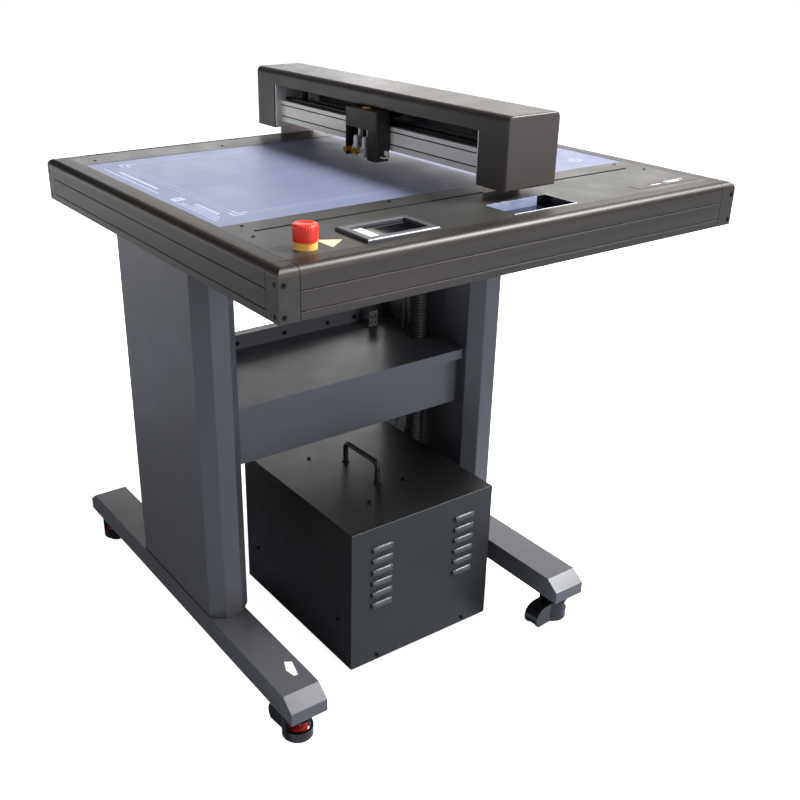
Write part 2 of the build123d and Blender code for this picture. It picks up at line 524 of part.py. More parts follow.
scroll -= along_x(23, BLOWER_X, ELBOW_START + 1, HOSE_Y, ELBOW_Z)
scroll -= upright(8, BLOWER_X, BLOWER_Y, SCROLL[0] - 1, SCROLL[0] + 5)
scroll -= upright(30, BLOWER_X, BLOWER_Y, SCROLL[1] - 5, SCROLL[1] + 1)
write("blower_housing", blower_motor, scroll)
impeller = upright(84, BLOWER_X, BLOWER_Y, SCROLL[0] + 13, SCROLL[0] + 17)
impeller += upright(14, BLOWER_X, BLOWER_Y, SCROLL[0] + 13, SCROLL[1] - 20)
for turn in range(8):
    blade = block(12, 80, -1.5, 1.5, SCROLL[0] + 17, SCROLL[1] - 22)
    impeller += Pos(BLOWER_X, BLOWER_Y, 0) * Rot(0, 0, turn * 45) * blade
impeller += upright(6, BLOWER_X, BLOWER_Y, SCROLL[0] - 40, SCROLL[0] + 13)
write("blower_impeller", impeller)

# elbow: out of the unit's right side and up to the hose
BEND_R = 32.0
elbow_path = FilletPolyline((ELBOW_START, HOSE_Y, ELBOW_Z), (HOSE_X, HOSE_Y, ELBOW_Z),
                            (HOSE_X, HOSE_Y, HOSE_FOOT), radius=BEND_R)
elbow_plane = Plane(origin=elbow_path @ 0, z_dir=elbow_path % 0)
elbow = sweep(elbow_plane * Circle(HOSE_R), path=elbow_path)
elbow += along_x(HOSE_R + 9, VAC_RIGHT, VAC_RIGHT + 4, HOSE_Y, ELBOW_Z)
elbow += upright(HOSE_R + 3, HOSE_X, HOSE_Y, HOSE_FOOT - 26, HOSE_FOOT)
elbow -= sweep(elbow_plane * Circle(HOSE_BORE), path=elbow_path)
write("hose_elbow", elbow)


# ---------------------------------------------------------------- hose and signal cable
def corner_radii(points):
    """For each corner of a route, 0.45 of its shorter run over the tangent of half its turn."""
    radii = []
    for before, here, after in zip(points, points[1:], points[2:]):
        run_in = Vector(*here) - Vector(*before)
        run_out = Vector(*after) - Vector(*here)
        half_turn = run_in.get_angle(run_out) / 2
        radii.append(0.45 * min(run_in.length, run_out.length) / tan(radians(half_turn)))
    return radii


def cord_tube(points, outer, inner=0.0):
    """A cord's tube along a route of straight runs joined by tangent arcs."""
    radii = corner_radii(points)
    path = FilletPolyline(*points, radius=radii)
    start = Plane(origin=path @ 0, z_dir=path % 0)
    section = start * Circle(outer)
    if inner:
        section -= start * Circle(inner)
    tube = sweep(section, path=path)
    print("cord: length", round(path.length, 1), "smallest radius", round(min(radii), 1),
          "volume over section times length", round(tube.volume / (section.area * path.length), 4))
    return tube


write("vacuum_hose", cord_tube(HOSE, HOSE_R, HOSE_BORE))
write("signal_cable", cord_tube(CABLE, CABLE_R))

# ---------------------------------------------------------------- gantry
COVER_T = 3.0
PLATE_YS = (-297.0, 503.0)            # where the long cover meets the end covers
BACK_LOW = 1058.0                     # lower edge of the long cover's back wall


def cover_face(inset, low):
    """Section of the gantry covers across the table, with its two top corners rounded."""
    width = GANTRY_X1 - GANTRY_X0 - 2 * inset
    high = GANTRY_TOP - inset - low
    face = Pos(GANTRY_XC, low + high / 2) * Rectangle(width, high)
    return fillet(face.vertices().group_by(Axis.Y)[-1], COVER_R - inset)


def across(y):
    """Plane at y for sections that are drawn in X and Z and extruded towards the front."""
    return Plane(origin=(0, y, 0), x_dir=(1, 0, 0), z_dir=(0, -1, 0))


long_cover = cover_face(0, BACK_LOW) - cover_face(COVER_T, BACK_LOW - 5)
long_cover -= Pos(GANTRY_X0, (BACK_LOW + COVER_LIP_Z) / 2 - 5) * Rectangle(
    4 * COVER_T, COVER_LIP_Z - BACK_LOW + 10)
write("gantry_cover", extrude(across(PLATE_YS[1]) * long_cover, amount=PLATE_YS[1] - PLATE_YS[0]))

ARM_X0, ARM_X1 = GANTRY_XC - ARM_W / 2, GANTRY_XC + ARM_W / 2


def end_cover(outer_y, inner_y):
    """A deep shell over one end of the beam, open towards the beam and round the arm."""
    low_y, high_y = min(outer_y, inner_y), max(outer_y, inner_y)
    inward = 1 if inner_y > outer_y else -1
    shell = extrude(across(high_y) * cover_face(0, GANTRY_BOTTOM), amount=END_DEPTH)
    end_edges = shell.faces().sort_by_distance((GANTRY_XC, outer_y, 1115))[0].edges()
    shell = fillet(end_edges, 5)
    hollow = extrude(across(high_y) * cover_face(COVER_T, GANTRY_BOTTOM + COVER_T), amount=END_DEPTH)
    shell -= Pos(0, inward * COVER_T, 0) * hollow
    arm_way = (inner_y - inward * (ARM_T + 2), inner_y + inward)
    return shell - block(ARM_X0 - 2, ARM_X1 + 2, min(arm_way), max(arm_way),
                         GANTRY_BOTTOM - 1, GANTRY_BOTTOM + COVER_T + 1)


write("gantry_end_covers", end_cover(GANTRY_Y0, PLATE_YS[0]), end_cover(GANTRY_Y1, PLATE_YS[1]))

# beam: hollow extrusion with an end plate at each end, and its grooves along the front face
beam_y0, beam_y1 = PLATE_YS[0] + PLATE_T, PLATE_YS[1] - PLATE_T
beam = block(BEAM_X0, BEAM_X1, beam_y0, beam_y1, BEAM_Z0, BEAM_Z1)
beam -= block(BEAM_X0 + 5, BEAM_X1 - 5, beam_y0 - 1, beam_y1 + 1, BEAM_Z0 + 5, BEAM_Z1 - 5)
for z0, z1 in ((BEAM_Z0 + 12, BEAM_Z0 + 15), (BEAM_Z0 + 40, BEAM_Z0 + 43)):
    beam -= block(BEAM_X0 - 1, BEAM_X0 + 2.5, beam_y0 - 1, beam_y1 + 1, z0, z1)
for y0, y1 in ((PLATE_YS[0], beam_y0), (beam_y1, PLATE_YS[1])):
    beam += block(GANTRY_X0 + COVER_T, GANTRY_X1 - COVER_T, y0, y1, GANTRY_BOTTOM + 4, GANTRY_TOP - 20)
write("gantry_beam", beam)


def arm(plate_y, outward, guide_y, belt_y, low):
    """A bright plate down through the slot, with the carriage on the guide and the belt clamp."""
    face = plate_y + outward * ARM_T
    clear = 0.4
    plate = block(ARM_X0, ARM_X1, plate_y, face, low, COVER_LIP_Z)
    top, middle = GUIDE_TOP + 23, GANTRY_XC
    carriage = block(middle - 40, middle + 40, guide_y - GUIDE_W / 2 - 10, guide_y + GUIDE_W / 2 + 10,
                     GUIDE_BASE + 2, top)
    carriage -= block(middle - 41, middle + 41, guide_y - GUIDE_W / 2 - clear,
                      guide_y + GUIDE_W / 2 + clear, GUIDE_BASE, GUIDE_TOP + clear)
    carriage += block(middle - 40, middle + 40, min(guide_y, plate_y), max(guide_y, plate_y),
                      GUIDE_TOP + 8, top)
    belt_top = SHAFT_Z + PULLEY_R + APART + BELT_T
    clamp = block(middle - 12, middle + 12, min(guide_y, belt_y - 4), max(guide_y, belt_y + 4),
                  belt_top + clear, top)
    return plate + carriage + clamp


write("gantry_arms", arm(PLATE_YS[0], -1, FRONT_GUIDE_Y, BELT_YS[0], GUIDE_BASE + 2),
      arm(PLATE_YS[1], 1, REAR_GUIDE_Y, BELT_YS[1], GUIDE_TOP + 8))

# head drive on top of the beam: guide, motor with its pulley, far pulley and belt
HEAD_GUIDE_X, HEAD_GUIDE_W = 70.0, 15.0
HEAD_GUIDE_TOP = BEAM_Z1 + 8
HEAD_BELT_X, HEAD_BELT_Z, HEAD_PULLEY_R = 100.0, 1146.0, 10.0
MOTOR_Y, FAR_Y = -268.0, 474.0
write("head_guide", block(HEAD_GUIDE_X - HEAD_GUIDE_W / 2, HEAD_GUIDE_X + HEAD_GUIDE_W / 2,
                          beam_y0 + 4, beam_y1 - 4, BEAM_Z1, HEAD_GUIDE_TOP))
head_motor = block(112, 112 + 2 * MOTOR, MOTOR_Y - MOTOR, MOTOR_Y + MOTOR,
                   HEAD_BELT_Z - MOTOR, HEAD_BELT_Z + MOTOR)
head_motor += block(112, BEAM_X1, MOTOR_Y - MOTOR, MOTOR_Y + MOTOR, BEAM_Z1, HEAD_BELT_Z)
head_motor += along_x(2.5, HEAD_BELT_X - 6, 113, MOTOR_Y, HEAD_BELT_Z)
head_motor += along_x(HEAD_PULLEY_R, HEAD_BELT_X - 5, HEAD_BELT_X + 5, MOTOR_Y, HEAD_BELT_Z)
far_pulley = block(HEAD_BELT_X + 8, HEAD_BELT_X + 13, FAR_Y - 9, FAR_Y + 9, BEAM_Z1, HEAD_BELT_Z + 9)
far_pulley += along_x(3.0, HEAD_BELT_X - 6, HEAD_BELT_X + 9, FAR_Y, HEAD_BELT_Z)
far_pulley += along_x(HEAD_PULLEY_R, HEAD_BELT_X - 5, HEAD_BELT_X + 5, FAR_Y, HEAD_BELT_Z)
write("head_motor", head_motor, far_pulley)
write("head_belt", belt_loop(
    Plane(origin=(HEAD_BELT_X - BELT_W / 2, (MOTOR_Y + FAR_Y) / 2, HEAD_BELT_Z),
          x_dir=(0, 1, 0), z_dir=(1, 0, 0)), (FAR_Y - MOTOR_Y) / 2, HEAD_PULLEY_R + APART, BELT_W))

# ---------------------------------------------------------------- head
SLIDE_HALF_W = 7.0        # half the width of a tool's slide
PLATE_X1 = HEAD_X1 + 6
LINK_Z = HEAD_GUIDE_TOP + 6
head_yc = (HEAD_Y0 + HEAD_Y1) / 2
carriage = block(HEAD_X1, PLATE_X1, HEAD_Y0 + 4, HEAD_Y1 - 4, HEAD_Z0 + 5, HEAD_Z1 - 1)
carriage += block(PLATE_X1, HEAD_BELT_X + 7, head_yc - 29, head_yc + 29, LINK_Z, LINK_Z + 6)
carriage += block(HEAD_GUIDE_X - 13, HEAD_GUIDE_X + 13, head_yc - 29, head_yc + 29, BEAM_Z1 + 2, LINK_Z)
carriage -= block(HEAD_GUIDE_X - HEAD_GUIDE_W / 2 - 0.3, HEAD_GUIDE_X + HEAD_GUIDE_W / 2 + 0.3,
                  head_yc - 30, head_yc + 30, BEAM_Z1 + 1, HEAD_GUIDE_TOP + 0.4)
carriage += block(HEAD_BELT_X - 6, HEAD_BELT_X + 6, head_yc - 10, head_yc + 10, LINK_Z + 6,
                  HEAD_BELT_Z - HEAD_PULLEY_R - APART - BELT_T - 0.4)
for y in TOOL_Y:
    carriage += block(HEAD_X1 - 6, HEAD_X1, y - SLIDE_HALF_W, y + SLIDE_HALF_W, 1042, 1100)
write("head_carriage", carriage)

RECESS = (HEAD_Y0 + 34, HEAD_Y1 - 4)   # the open bay that the tools move in
housing = block(HEAD_X0, HEAD_X1, HEAD_Y0, HEAD_Y1, HEAD_Z0, HEAD_Z1)
front_edges = housing.edges().filter_by(Axis.Z).group_by(Axis.X)[0]
housing = fillet(front_edges + housing.edges().group_by(Axis.Z)[-1].sort_by(Axis.X)[:1], 3)
housing -= block(HEAD_X0 - 1, HEAD_X1 + 1, *RECESS, HEAD_Z0 - 1, HEAD_SEAM_Z - 2)
housing -= block(HEAD_X0 + 2, HEAD_X1 + 1, HEAD_Y0 + 2, HEAD_Y1 - 2, HEAD_SEAM_Z, HEAD_Z1 - 2)
housing -= block(HEAD_X0 + 2, HEAD_X1 + 1, HEAD_Y0 + 2, RECESS[0] - 2, HEAD_Z0 + 2, HEAD_SEAM_Z - 2)
write("head_cover", housing)

TOOL_X = 20.0             # axis of the pens
RING_Z = (1046.0, 1060.0)
KNOB_Z = sum(RING_Z) / 2
KNOB_BORE_R = 2.45


def tool(y):
    """A pen in its clamp ring, on the bar that slides up and down in front of the carriage."""
    body = block(28, HEAD_X1 - 6.4, y - 4, y + 4, 1042, 1098)
    body += block(TOOL_X, 29, y - 4, y + 4, *RING_Z)
    body += upright(9, TOOL_X, y, *RING_Z)
    body += upright(5.5, TOOL_X, y, 1040, 1082)
    body += Pos(TOOL_X, y, 1036.5) * Cone(0.8, 5.5, 7)
    body += along_x(4.5, 5, TOOL_X, y, KNOB_Z)
    return body - along_x(KNOB_BORE_R, 4, 12.5, y, KNOB_Z)


def clamp_knob(y):
    """The knurled knob whose screw clamps the pen."""
    knob = along_x(6.2, -14, 4.6, y, KNOB_Z) + along_x(KNOB_BORE_R - RUNNING, 4, 12, y, KNOB_Z)
    return knob - along_x(4, -15, -12, y, KNOB_Z)


for name, y in zip(("left", "right"), TOOL_Y):
    write(f"tool_{name}", tool(y))
    write(f"knob_{name}", clamp_knob(y))


# ---------------------------------------------------------------- levelling casters
CUP_R, CUP_WALL = CASTER_R, 6.0
CUP_Z = (12.0, 34.0)      # the cup round the thumbwheel
BRIDGE_Z = 44.0           # underside of the bridge over the thumbwheel
NECK_R, STEM_R = 30.0, 6.0
WHEEL_Z = WHEEL_R + WHEEL_LIFT
AXLE_R = 3.0
FORK_HALF_W = 19.0        # half the width of the housing round the wheel
WHEEL_GAP = 1.5           # each side of the wheel


def caster_housing():
    """Swivel housing: a cup round the levelling screw, a bridge over it on the wheel's
    side, and a hood over the wheel; the wheel stands off along +X."""
    housing = upright(CUP_R, 0, 0, CUP_Z[0], 62) + upright(NECK_R, 0, 0, 60, 78)
    housing += along_y(WHEEL_R + 4, WHEEL_OFFSET, -FORK_HALF_W, FORK_HALF_W, WHEEL_Z + 3)
    housing += block(0, WHEEL_OFFSET, -FORK_HALF_W, FORK_HALF_W, CUP_Z[0], WHEEL_Z + WHEEL_R + 7)
    housing += upright(12, 0, 0, 78, FOOT_BOTTOM - 2 - APART)
    housing -= block(-80, 80, -80, 80, -1, CUP_Z[0])
    housing -= upright(CUP_R - CUP_WALL, 0, 0, CUP_Z[0] - 1, BRIDGE_Z + 2)
    housing -= block(-80, -4, -80, 80, CUP_Z[1], 60)
    slot_half = WHEEL_W / 2 + WHEEL_GAP
    housing -= along_y(WHEEL_R + WHEEL_GAP, WHEEL_OFFSET, -slot_half, slot_half, WHEEL_Z)
    housing -= block(CUP_R - 12, WHEEL_OFFSET + WHEEL_R + WHEEL_GAP, -slot_half, slot_half, 0, WHEEL_Z)
    housing += along_y(AXLE_R, WHEEL_OFFSET, -FORK_HALF_W, FORK_HALF_W, WHEEL_Z)
    return housing - upright(STEM_R + RUNNING, 0, 0, BRIDGE_Z, 70)


def caster_wheel():
    """Solid nylon wheel on the axle."""
    wheel = along_y(WHEEL_R, WHEEL_OFFSET, -WHEEL_W / 2, WHEEL_W / 2, WHEEL_Z)
    wheel = fillet(wheel.edges().filter_by(GeomType.CIRCLE), 2)
    return wheel - along_y(AXLE_R + RUNNING, WHEEL_OFFSET, -WHEEL_W, WHEEL_W, WHEEL_Z)


def levelling_screw():
    """Screw with its red thumbwheel, standing on the pad."""
    thumbwheel = upright(21, 0, 0, 21, 35)
    for turn in range(24):
        thumbwheel -= Rot(0, 0, turn * 15) * upright(1.3, 21.4, 0, 20, 36)
    return thumbwheel + upright(STEM_R, 0, 0, CUP_Z[0], 58)


CASTERS = {"front_left": (-1, -1, 95), "front_right": (1, -1, 185),
           "rear_left": (-1, 1, 70), "rear_right": (1, 1, 110)}
for name, (side, end, swivel) in CASTERS.items():
    place = Pos(STAND_X + side * (FOOT_OUT - FOOT_W / 2), end * (FOOT_L / 2 - CASTER_INSET), 0)
    turned = place * Rot(0, 0, swivel)
    write(f"{name}_caster", turned * caster_housing())
    write(f"{name}_wheel", turned * caster_wheel())
    pad = fillet(upright(20, 0, 0, 0, CUP_Z[0]).edges().group_by(Axis.Z)[0], 2)
    write(f"{name}_pad", turned * pad, turned * levelling_screw())
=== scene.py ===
import math

import bmesh
import bpy
from mathutils import Matrix, Vector


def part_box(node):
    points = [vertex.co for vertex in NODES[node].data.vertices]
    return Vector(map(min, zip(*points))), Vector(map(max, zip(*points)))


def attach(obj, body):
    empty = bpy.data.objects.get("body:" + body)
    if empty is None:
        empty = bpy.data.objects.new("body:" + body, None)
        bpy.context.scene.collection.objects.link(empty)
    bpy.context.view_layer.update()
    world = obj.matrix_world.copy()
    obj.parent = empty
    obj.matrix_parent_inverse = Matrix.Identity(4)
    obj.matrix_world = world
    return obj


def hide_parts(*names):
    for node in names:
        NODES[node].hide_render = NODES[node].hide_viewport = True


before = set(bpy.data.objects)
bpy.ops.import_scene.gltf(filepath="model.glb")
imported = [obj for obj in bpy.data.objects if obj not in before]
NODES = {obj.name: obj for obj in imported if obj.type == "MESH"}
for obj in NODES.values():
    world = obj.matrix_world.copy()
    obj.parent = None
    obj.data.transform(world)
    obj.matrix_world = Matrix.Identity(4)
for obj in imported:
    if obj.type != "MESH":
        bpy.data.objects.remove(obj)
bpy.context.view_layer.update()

# Looks of the flatbed cutter on its stand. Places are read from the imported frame.
# Most of the machine was drawn about its table's centre line, so at() takes
# millimetres from that line and from the floor, and gives metres in the frame.

MM = 0.001


def limits(node):
    """A node's lowest and highest corners, in millimetres from the table's centre line."""
    low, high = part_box(node)
    shift = Vector((0, TABLE_Y, 0))
    return (low - shift) / MM, (high - shift) / MM


CAPS_LOW, CAPS_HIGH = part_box("corner_caps")
TABLE_Y = (CAPS_LOW.y + CAPS_HIGH.y) / 2
TABLE_TOP = CAPS_HIGH.z / MM


def at(x, y, z):
    """A place given in millimetres from the table's centre line and the floor."""
    return Vector((x * MM, y * MM + TABLE_Y, z * MM))


# ---------------------------------------------------------------- camera
def make_camera():
    """Camera in front of the left corner, a little above the table."""
    azimuth, elevation, roll = -0.606, 0.438, 0.005
    forward = Vector((-math.sin(azimuth) * math.cos(elevation),
                      math.cos(azimuth) * math.cos(elevation), -math.sin(elevation)))
    level = forward.cross(Vector((0, 0, 1))).normalized()
    upward = level.cross(forward)
    right = math.cos(roll) * level + math.sin(roll) * upward
    up = math.cos(roll) * upward - math.sin(roll) * level
    data = bpy.data.cameras.new("camera")
    data.lens = 46.17
    data.shift_x, data.shift_y = 0.0623, 0.0128
    data.clip_end = 50
    camera = bpy.data.objects.new("camera", data)
    camera.matrix_world = Matrix((right, up, -forward)).transposed().to_4x4()
    camera.location = (-1.3687, -1.9047, 1.512)
    bpy.context.collection.objects.link(camera)
    bpy.context.scene.camera = camera


# ---------------------------------------------------------------- mesh helpers
def add_object(name, data, slot=None, body="root", finish=None):
    """Link an object made from data; a piece also gets its finish, and is attached to its body when a
    slot is given.
    """
    piece = bpy.data.objects.new(name, data)
    bpy.context.collection.objects.link(piece)
    if finish is not None:
        data.materials.append(finish)
    if slot is not None:
        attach(piece, body)
    return piece


def mesh_from(name, edit, smooth_angle=30):
    """Write a bmesh to a new mesh, smooth except at its sharp edges."""
    bmesh.ops.recalc_face_normals(edit, faces=edit.faces)
    mesh = bpy.data.meshes.new(name)
    edit.to_mesh(mesh)
    edit.free()
    mesh.shade_smooth()
    mesh.set_sharp_from_angle(angle=math.radians(smooth_angle))
    return mesh


def round_edges(piece, width, segments=3):
    """Round a piece's sharp edges, given in millimetres, and keep its flat faces flat."""
    bevel = piece.modifiers.new("rounded", "BEVEL")
    bevel.width = width * MM
    bevel.segments = segments
    bevel.limit_method = "ANGLE"
    bevel.angle_limit = math.radians(30)
    flat = piece.modifiers.new("flat_faces", "WEIGHTED_NORMAL")
    flat.keep_sharp = False
    for polygon in piece.data.polygons:
        polygon.use_smooth = True


def cleaned_copy(node):
    """A bmesh of a CAD node with its flat faces joined up."""
    edit = bmesh.new()
    edit.from_mesh(NODES[node].data)
    bmesh.ops.remove_doubles(edit, verts=edit.verts, dist=1e-6)
    bmesh.ops.dissolve_limit(edit, angle_limit=math.radians(0.5), verts=edit.verts,
                             edges=edit.edges)
    return edit


def softened(node, width, slot, finish, body="root"):
    """A copy of a CAD node with rounded edges, shown in place of the node."""
    mesh = bpy.data.meshes.new(node + "_soft")
    edit = cleaned_copy(node)
    edit.to_mesh(mesh)
    edit.free()
    piece = add_object(node + "_soft", mesh, slot, body, finish)
    round_edges(piece, width)
    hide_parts(node)
    return piece


def box_mesh(edit, low, high):
    """Add a box between two corners given in millimetres to a bmesh."""
    a, b = at(*low), at(*high)
    middle = Matrix.Translation((a + b) / 2)
    size = b - a
    scale = Matrix.Diagonal((abs(size.x), abs(size.y), abs(size.z), 1))
    bmesh.ops.create_cube(edit, size=1, matrix=middle @ scale)


def boxes(name, corners, slot, finish, body="root", rounded=0.3):
    """One piece made of boxes, each given by its two corners."""
    edit = bmesh.new()
    for low, high in corners:
        box_mesh(edit, low, high)
    piece = add_object(name, mesh_from(name, edit), slot, body, finish)
    if rounded:
        round_edges(piece, rounded, 2)
    return piece


def lathe(name, profile, place, direction, slot, finish, body="root", ridges=None,
          sides=64, smooth_angle=35):
    """Turn a profile of (radius, height) points about an axis.

    Ridges are given as (count, depth, lowest height, highest height).
    """
    edit = bmesh.new()
    turn = Vector((0, 0, 1)).rotation_difference(Vector(direction)).to_matrix()
    origin = at(*place)
    rings = []
    for radius, height in profile:
        ring = []
        for side in range(sides):
            angle = 2 * math.pi * side / sides
            reach = radius
            if ridges and ridges[2] <= height <= ridges[3]:
                reach += ridges[1] * math.cos(ridges[0] * angle)
            point = Vector((reach * math.cos(angle), reach * math.sin(angle), height)) * MM
            ring.append(edit.verts.new(origin + turn @ point))
        rings.append(ring)
    for lower, upper in zip(rings, rings[1:]):
        for side in range(sides):
            after = (side + 1) % sides
            edit.faces.new((lower[side], lower[after], upper[after], upper[side]))
    edit.faces.new(rings[0])
    edit.faces.new(rings[-1])
    return add_object(name, mesh_from(name, edit, smooth_angle), slot, body, finish)


def flat_shapes(name, outlines, z, slot, finish, thickness):
    """Thin flat shapes lying at height z, each an outline of (x, y) points."""
    edit = bmesh.new()
    for outline in outlines:
        low = [edit.verts.new(at(x, y, z)) for x, y in outline]
        high = [edit.verts.new(at(x, y, z + thickness)) for x, y in outline]
        edit.faces.new(list(reversed(low)))
        edit.faces.new(high)
        for side in range(len(outline)):
            after = (side + 1) % len(outline)
            edit.faces.new((low[side], low[after], high[after], high[side]))
    return add_object(name, mesh_from(name, edit), slot, "root", finish)


def strip(x0, y0, x1, y1, width):
    """Outline of a straight printed line between two points."""
    along = Vector((x1 - x0, y1 - y0)).normalized() * width / 2
    side = Vector((-along.y, along.x))
    return [(x0 - side.x, y0 - side.y), (x1 - side.x, y1 - side.y),
            (x1 + side.x, y1 + side.y), (x0 + side.x, y0 + side.y)]


# ---------------------------------------------------------------- finishes
def linear(code):
    """Linear colour of an sRGB hex code."""
    parts = [int(code[i:i + 2], 16) / 255 for i in (1, 3, 5)]
    straight = [c / 12.92 if c <= 0.04045 else ((c + 0.055) / 1.055) ** 2.4 for c in parts]
    return (*straight, 1)


class Finish:
    """A Principled material with helpers for the noise that varies it."""

    def __init__(self, name, metallic=0.0, roughness=0.5, specular=0.5):
        self.material = bpy.data.materials.new(name)
        self.material.use_nodes = True
        self.tree = self.material.node_tree
        self.shader = self.tree.nodes["Principled BSDF"]
        self.shader.inputs["Metallic"].default_value = metallic
        self.shader.inputs["Roughness"].default_value = roughness
        self.shader.inputs["Specular IOR Level"].default_value = specular
        self.place = self.tree.nodes.new("ShaderNodeTexCoord").outputs["Object"]

    def noise(self, scale, stretch=(1, 1, 1), detail=3.0, rough=0.55):
        """Noise over the object's own place, stretched by a scale along each axis."""
        mapping = self.tree.nodes.new("ShaderNodeMapping")
        mapping.inputs["Scale"].default_value = stretch
        self.tree.links.new(self.place, mapping.inputs["Vector"])
        texture = self.tree.nodes.new("ShaderNodeTexNoise")
        texture.inputs["Scale"].default_value = scale
        texture.inputs["Detail"].default_value = detail
        texture.inputs["Roughness"].default_value = rough
        self.tree.links.new(mapping.outputs["Vector"], texture.inputs["Vector"])
        return texture.outputs["Fac"]

    def ramp(self, factor, stops):
        """Colours along a factor, as (position, colour code) stops."""
        node = self.tree.nodes.new("ShaderNodeValToRGB")
        elements = node.color_ramp.elements
        while len(elements) < len(stops):
            elements.new(0.5)
        for element, (position, code) in zip(elements, stops):
            element.position = position
            element.color = linear(code)
        self.tree.links.new(factor, node.inputs["Fac"])
        return node.outputs["Color"]

    def spread(self, factor, low, high, start=0.3, end=0.7):
        """A number that runs from low to high as the factor goes from start to end."""
        node = self.tree.nodes.new("ShaderNodeMapRange")
        node.inputs["From Min"].default_value = start
        node.inputs["From Max"].default_value = end
        node.inputs["To Min"].default_value = low
        node.inputs["To Max"].default_value = high
        self.tree.links.new(factor, node.inputs["Value"])
        return node.outputs["Result"]

    def colour(self, factor, stops):
        self.tree.links.new(self.ramp(factor, stops), self.shader.inputs["Base Color"])
        return self

    def roughness(self, factor, low, high):
        self.tree.links.new(self.spread(factor, low, high), self.shader.inputs["Roughness"])
        return self

    def bump(self, height, distance, strength=1.0):
        node = self.tree.nodes.new("ShaderNodeBump")
        node.inputs["Distance"].default_value = distance * MM
        node.inputs["Strength"].default_value = strength
        self.tree.links.new(height, node.inputs["Height"])
        self.tree.links.new(node.outputs["Normal"], self.shader.inputs["Normal"])
        return self


def paint(name, dark, light, low, high, grain=0.05, specular=0.5):
    """Textured powder coat: fine specks of tone, slow patches of gloss, orange-peel grain."""
    made = Finish(name, specular=specular)
    speckle = made.noise(420, detail=2)
    made.colour(speckle, ((0.3, dark), (0.7, light)))
    made.roughness(made.noise(14, detail=3), low, high)
    made.bump(made.noise(900, detail=1), grain, 0.6)
    return made.material


def drawn_metal(name, dark, light, low, high, stretch, metallic=1.0, grain=0.02, scale=60):
    """Metal with fine lines along one axis: the stretch is small along the lines."""
    made = Finish(name, metallic=metallic)
    lines = made.noise(scale, stretch, detail=5, rough=0.7)
    made.colour(lines, ((0.25, dark), (0.75, light)))
    made.roughness(lines, low, high)
    made.bump(lines, grain, 0.5)
    return made.material


def moulded(name, dark, light, low, high, grain=0.04, scale=900):
    """Moulded plastic or rubber with a fine leathery grain."""
    made = Finish(name)
    made.colour(made.noise(30), ((0.35, dark), (0.65, light)))
    made.roughness(made.noise(60), low, high)
    made.bump(made.noise(scale, detail=2), grain, 0.6)
    return made.material


def mat_finish():
    """Smooth lavender-blue mat with faint cloudy wear and a very fine tooth."""
    made = Finish("mat_finish", specular=0.3)
    clouds = made.noise(5, detail=6)
    made.colour(clouds, ((0.3, "#777b96"), (0.55, "#7b7f9a"), (0.75, "#7f839f")))
    made.roughness(made.noise(18, detail=4), 0.42, 0.50)
    made.bump(made.noise(900, detail=2), 0.03, 0.5)
    return made.material


def rail_finish(name, stretch):
    """Warm charcoal anodising with faint streaks along the extrusion."""
    made = Finish(name, metallic=0.25, specular=0.5)
    streaks = made.noise(55, stretch, detail=4, rough=0.7)
    made.colour(streaks, ((0.25, "#28231e"), (0.5, "#302a25"), (0.78, "#39332d")))
    made.roughness(streaks, 0.40, 0.50)
    made.bump(streaks, 0.02, 0.4)
    return made.material


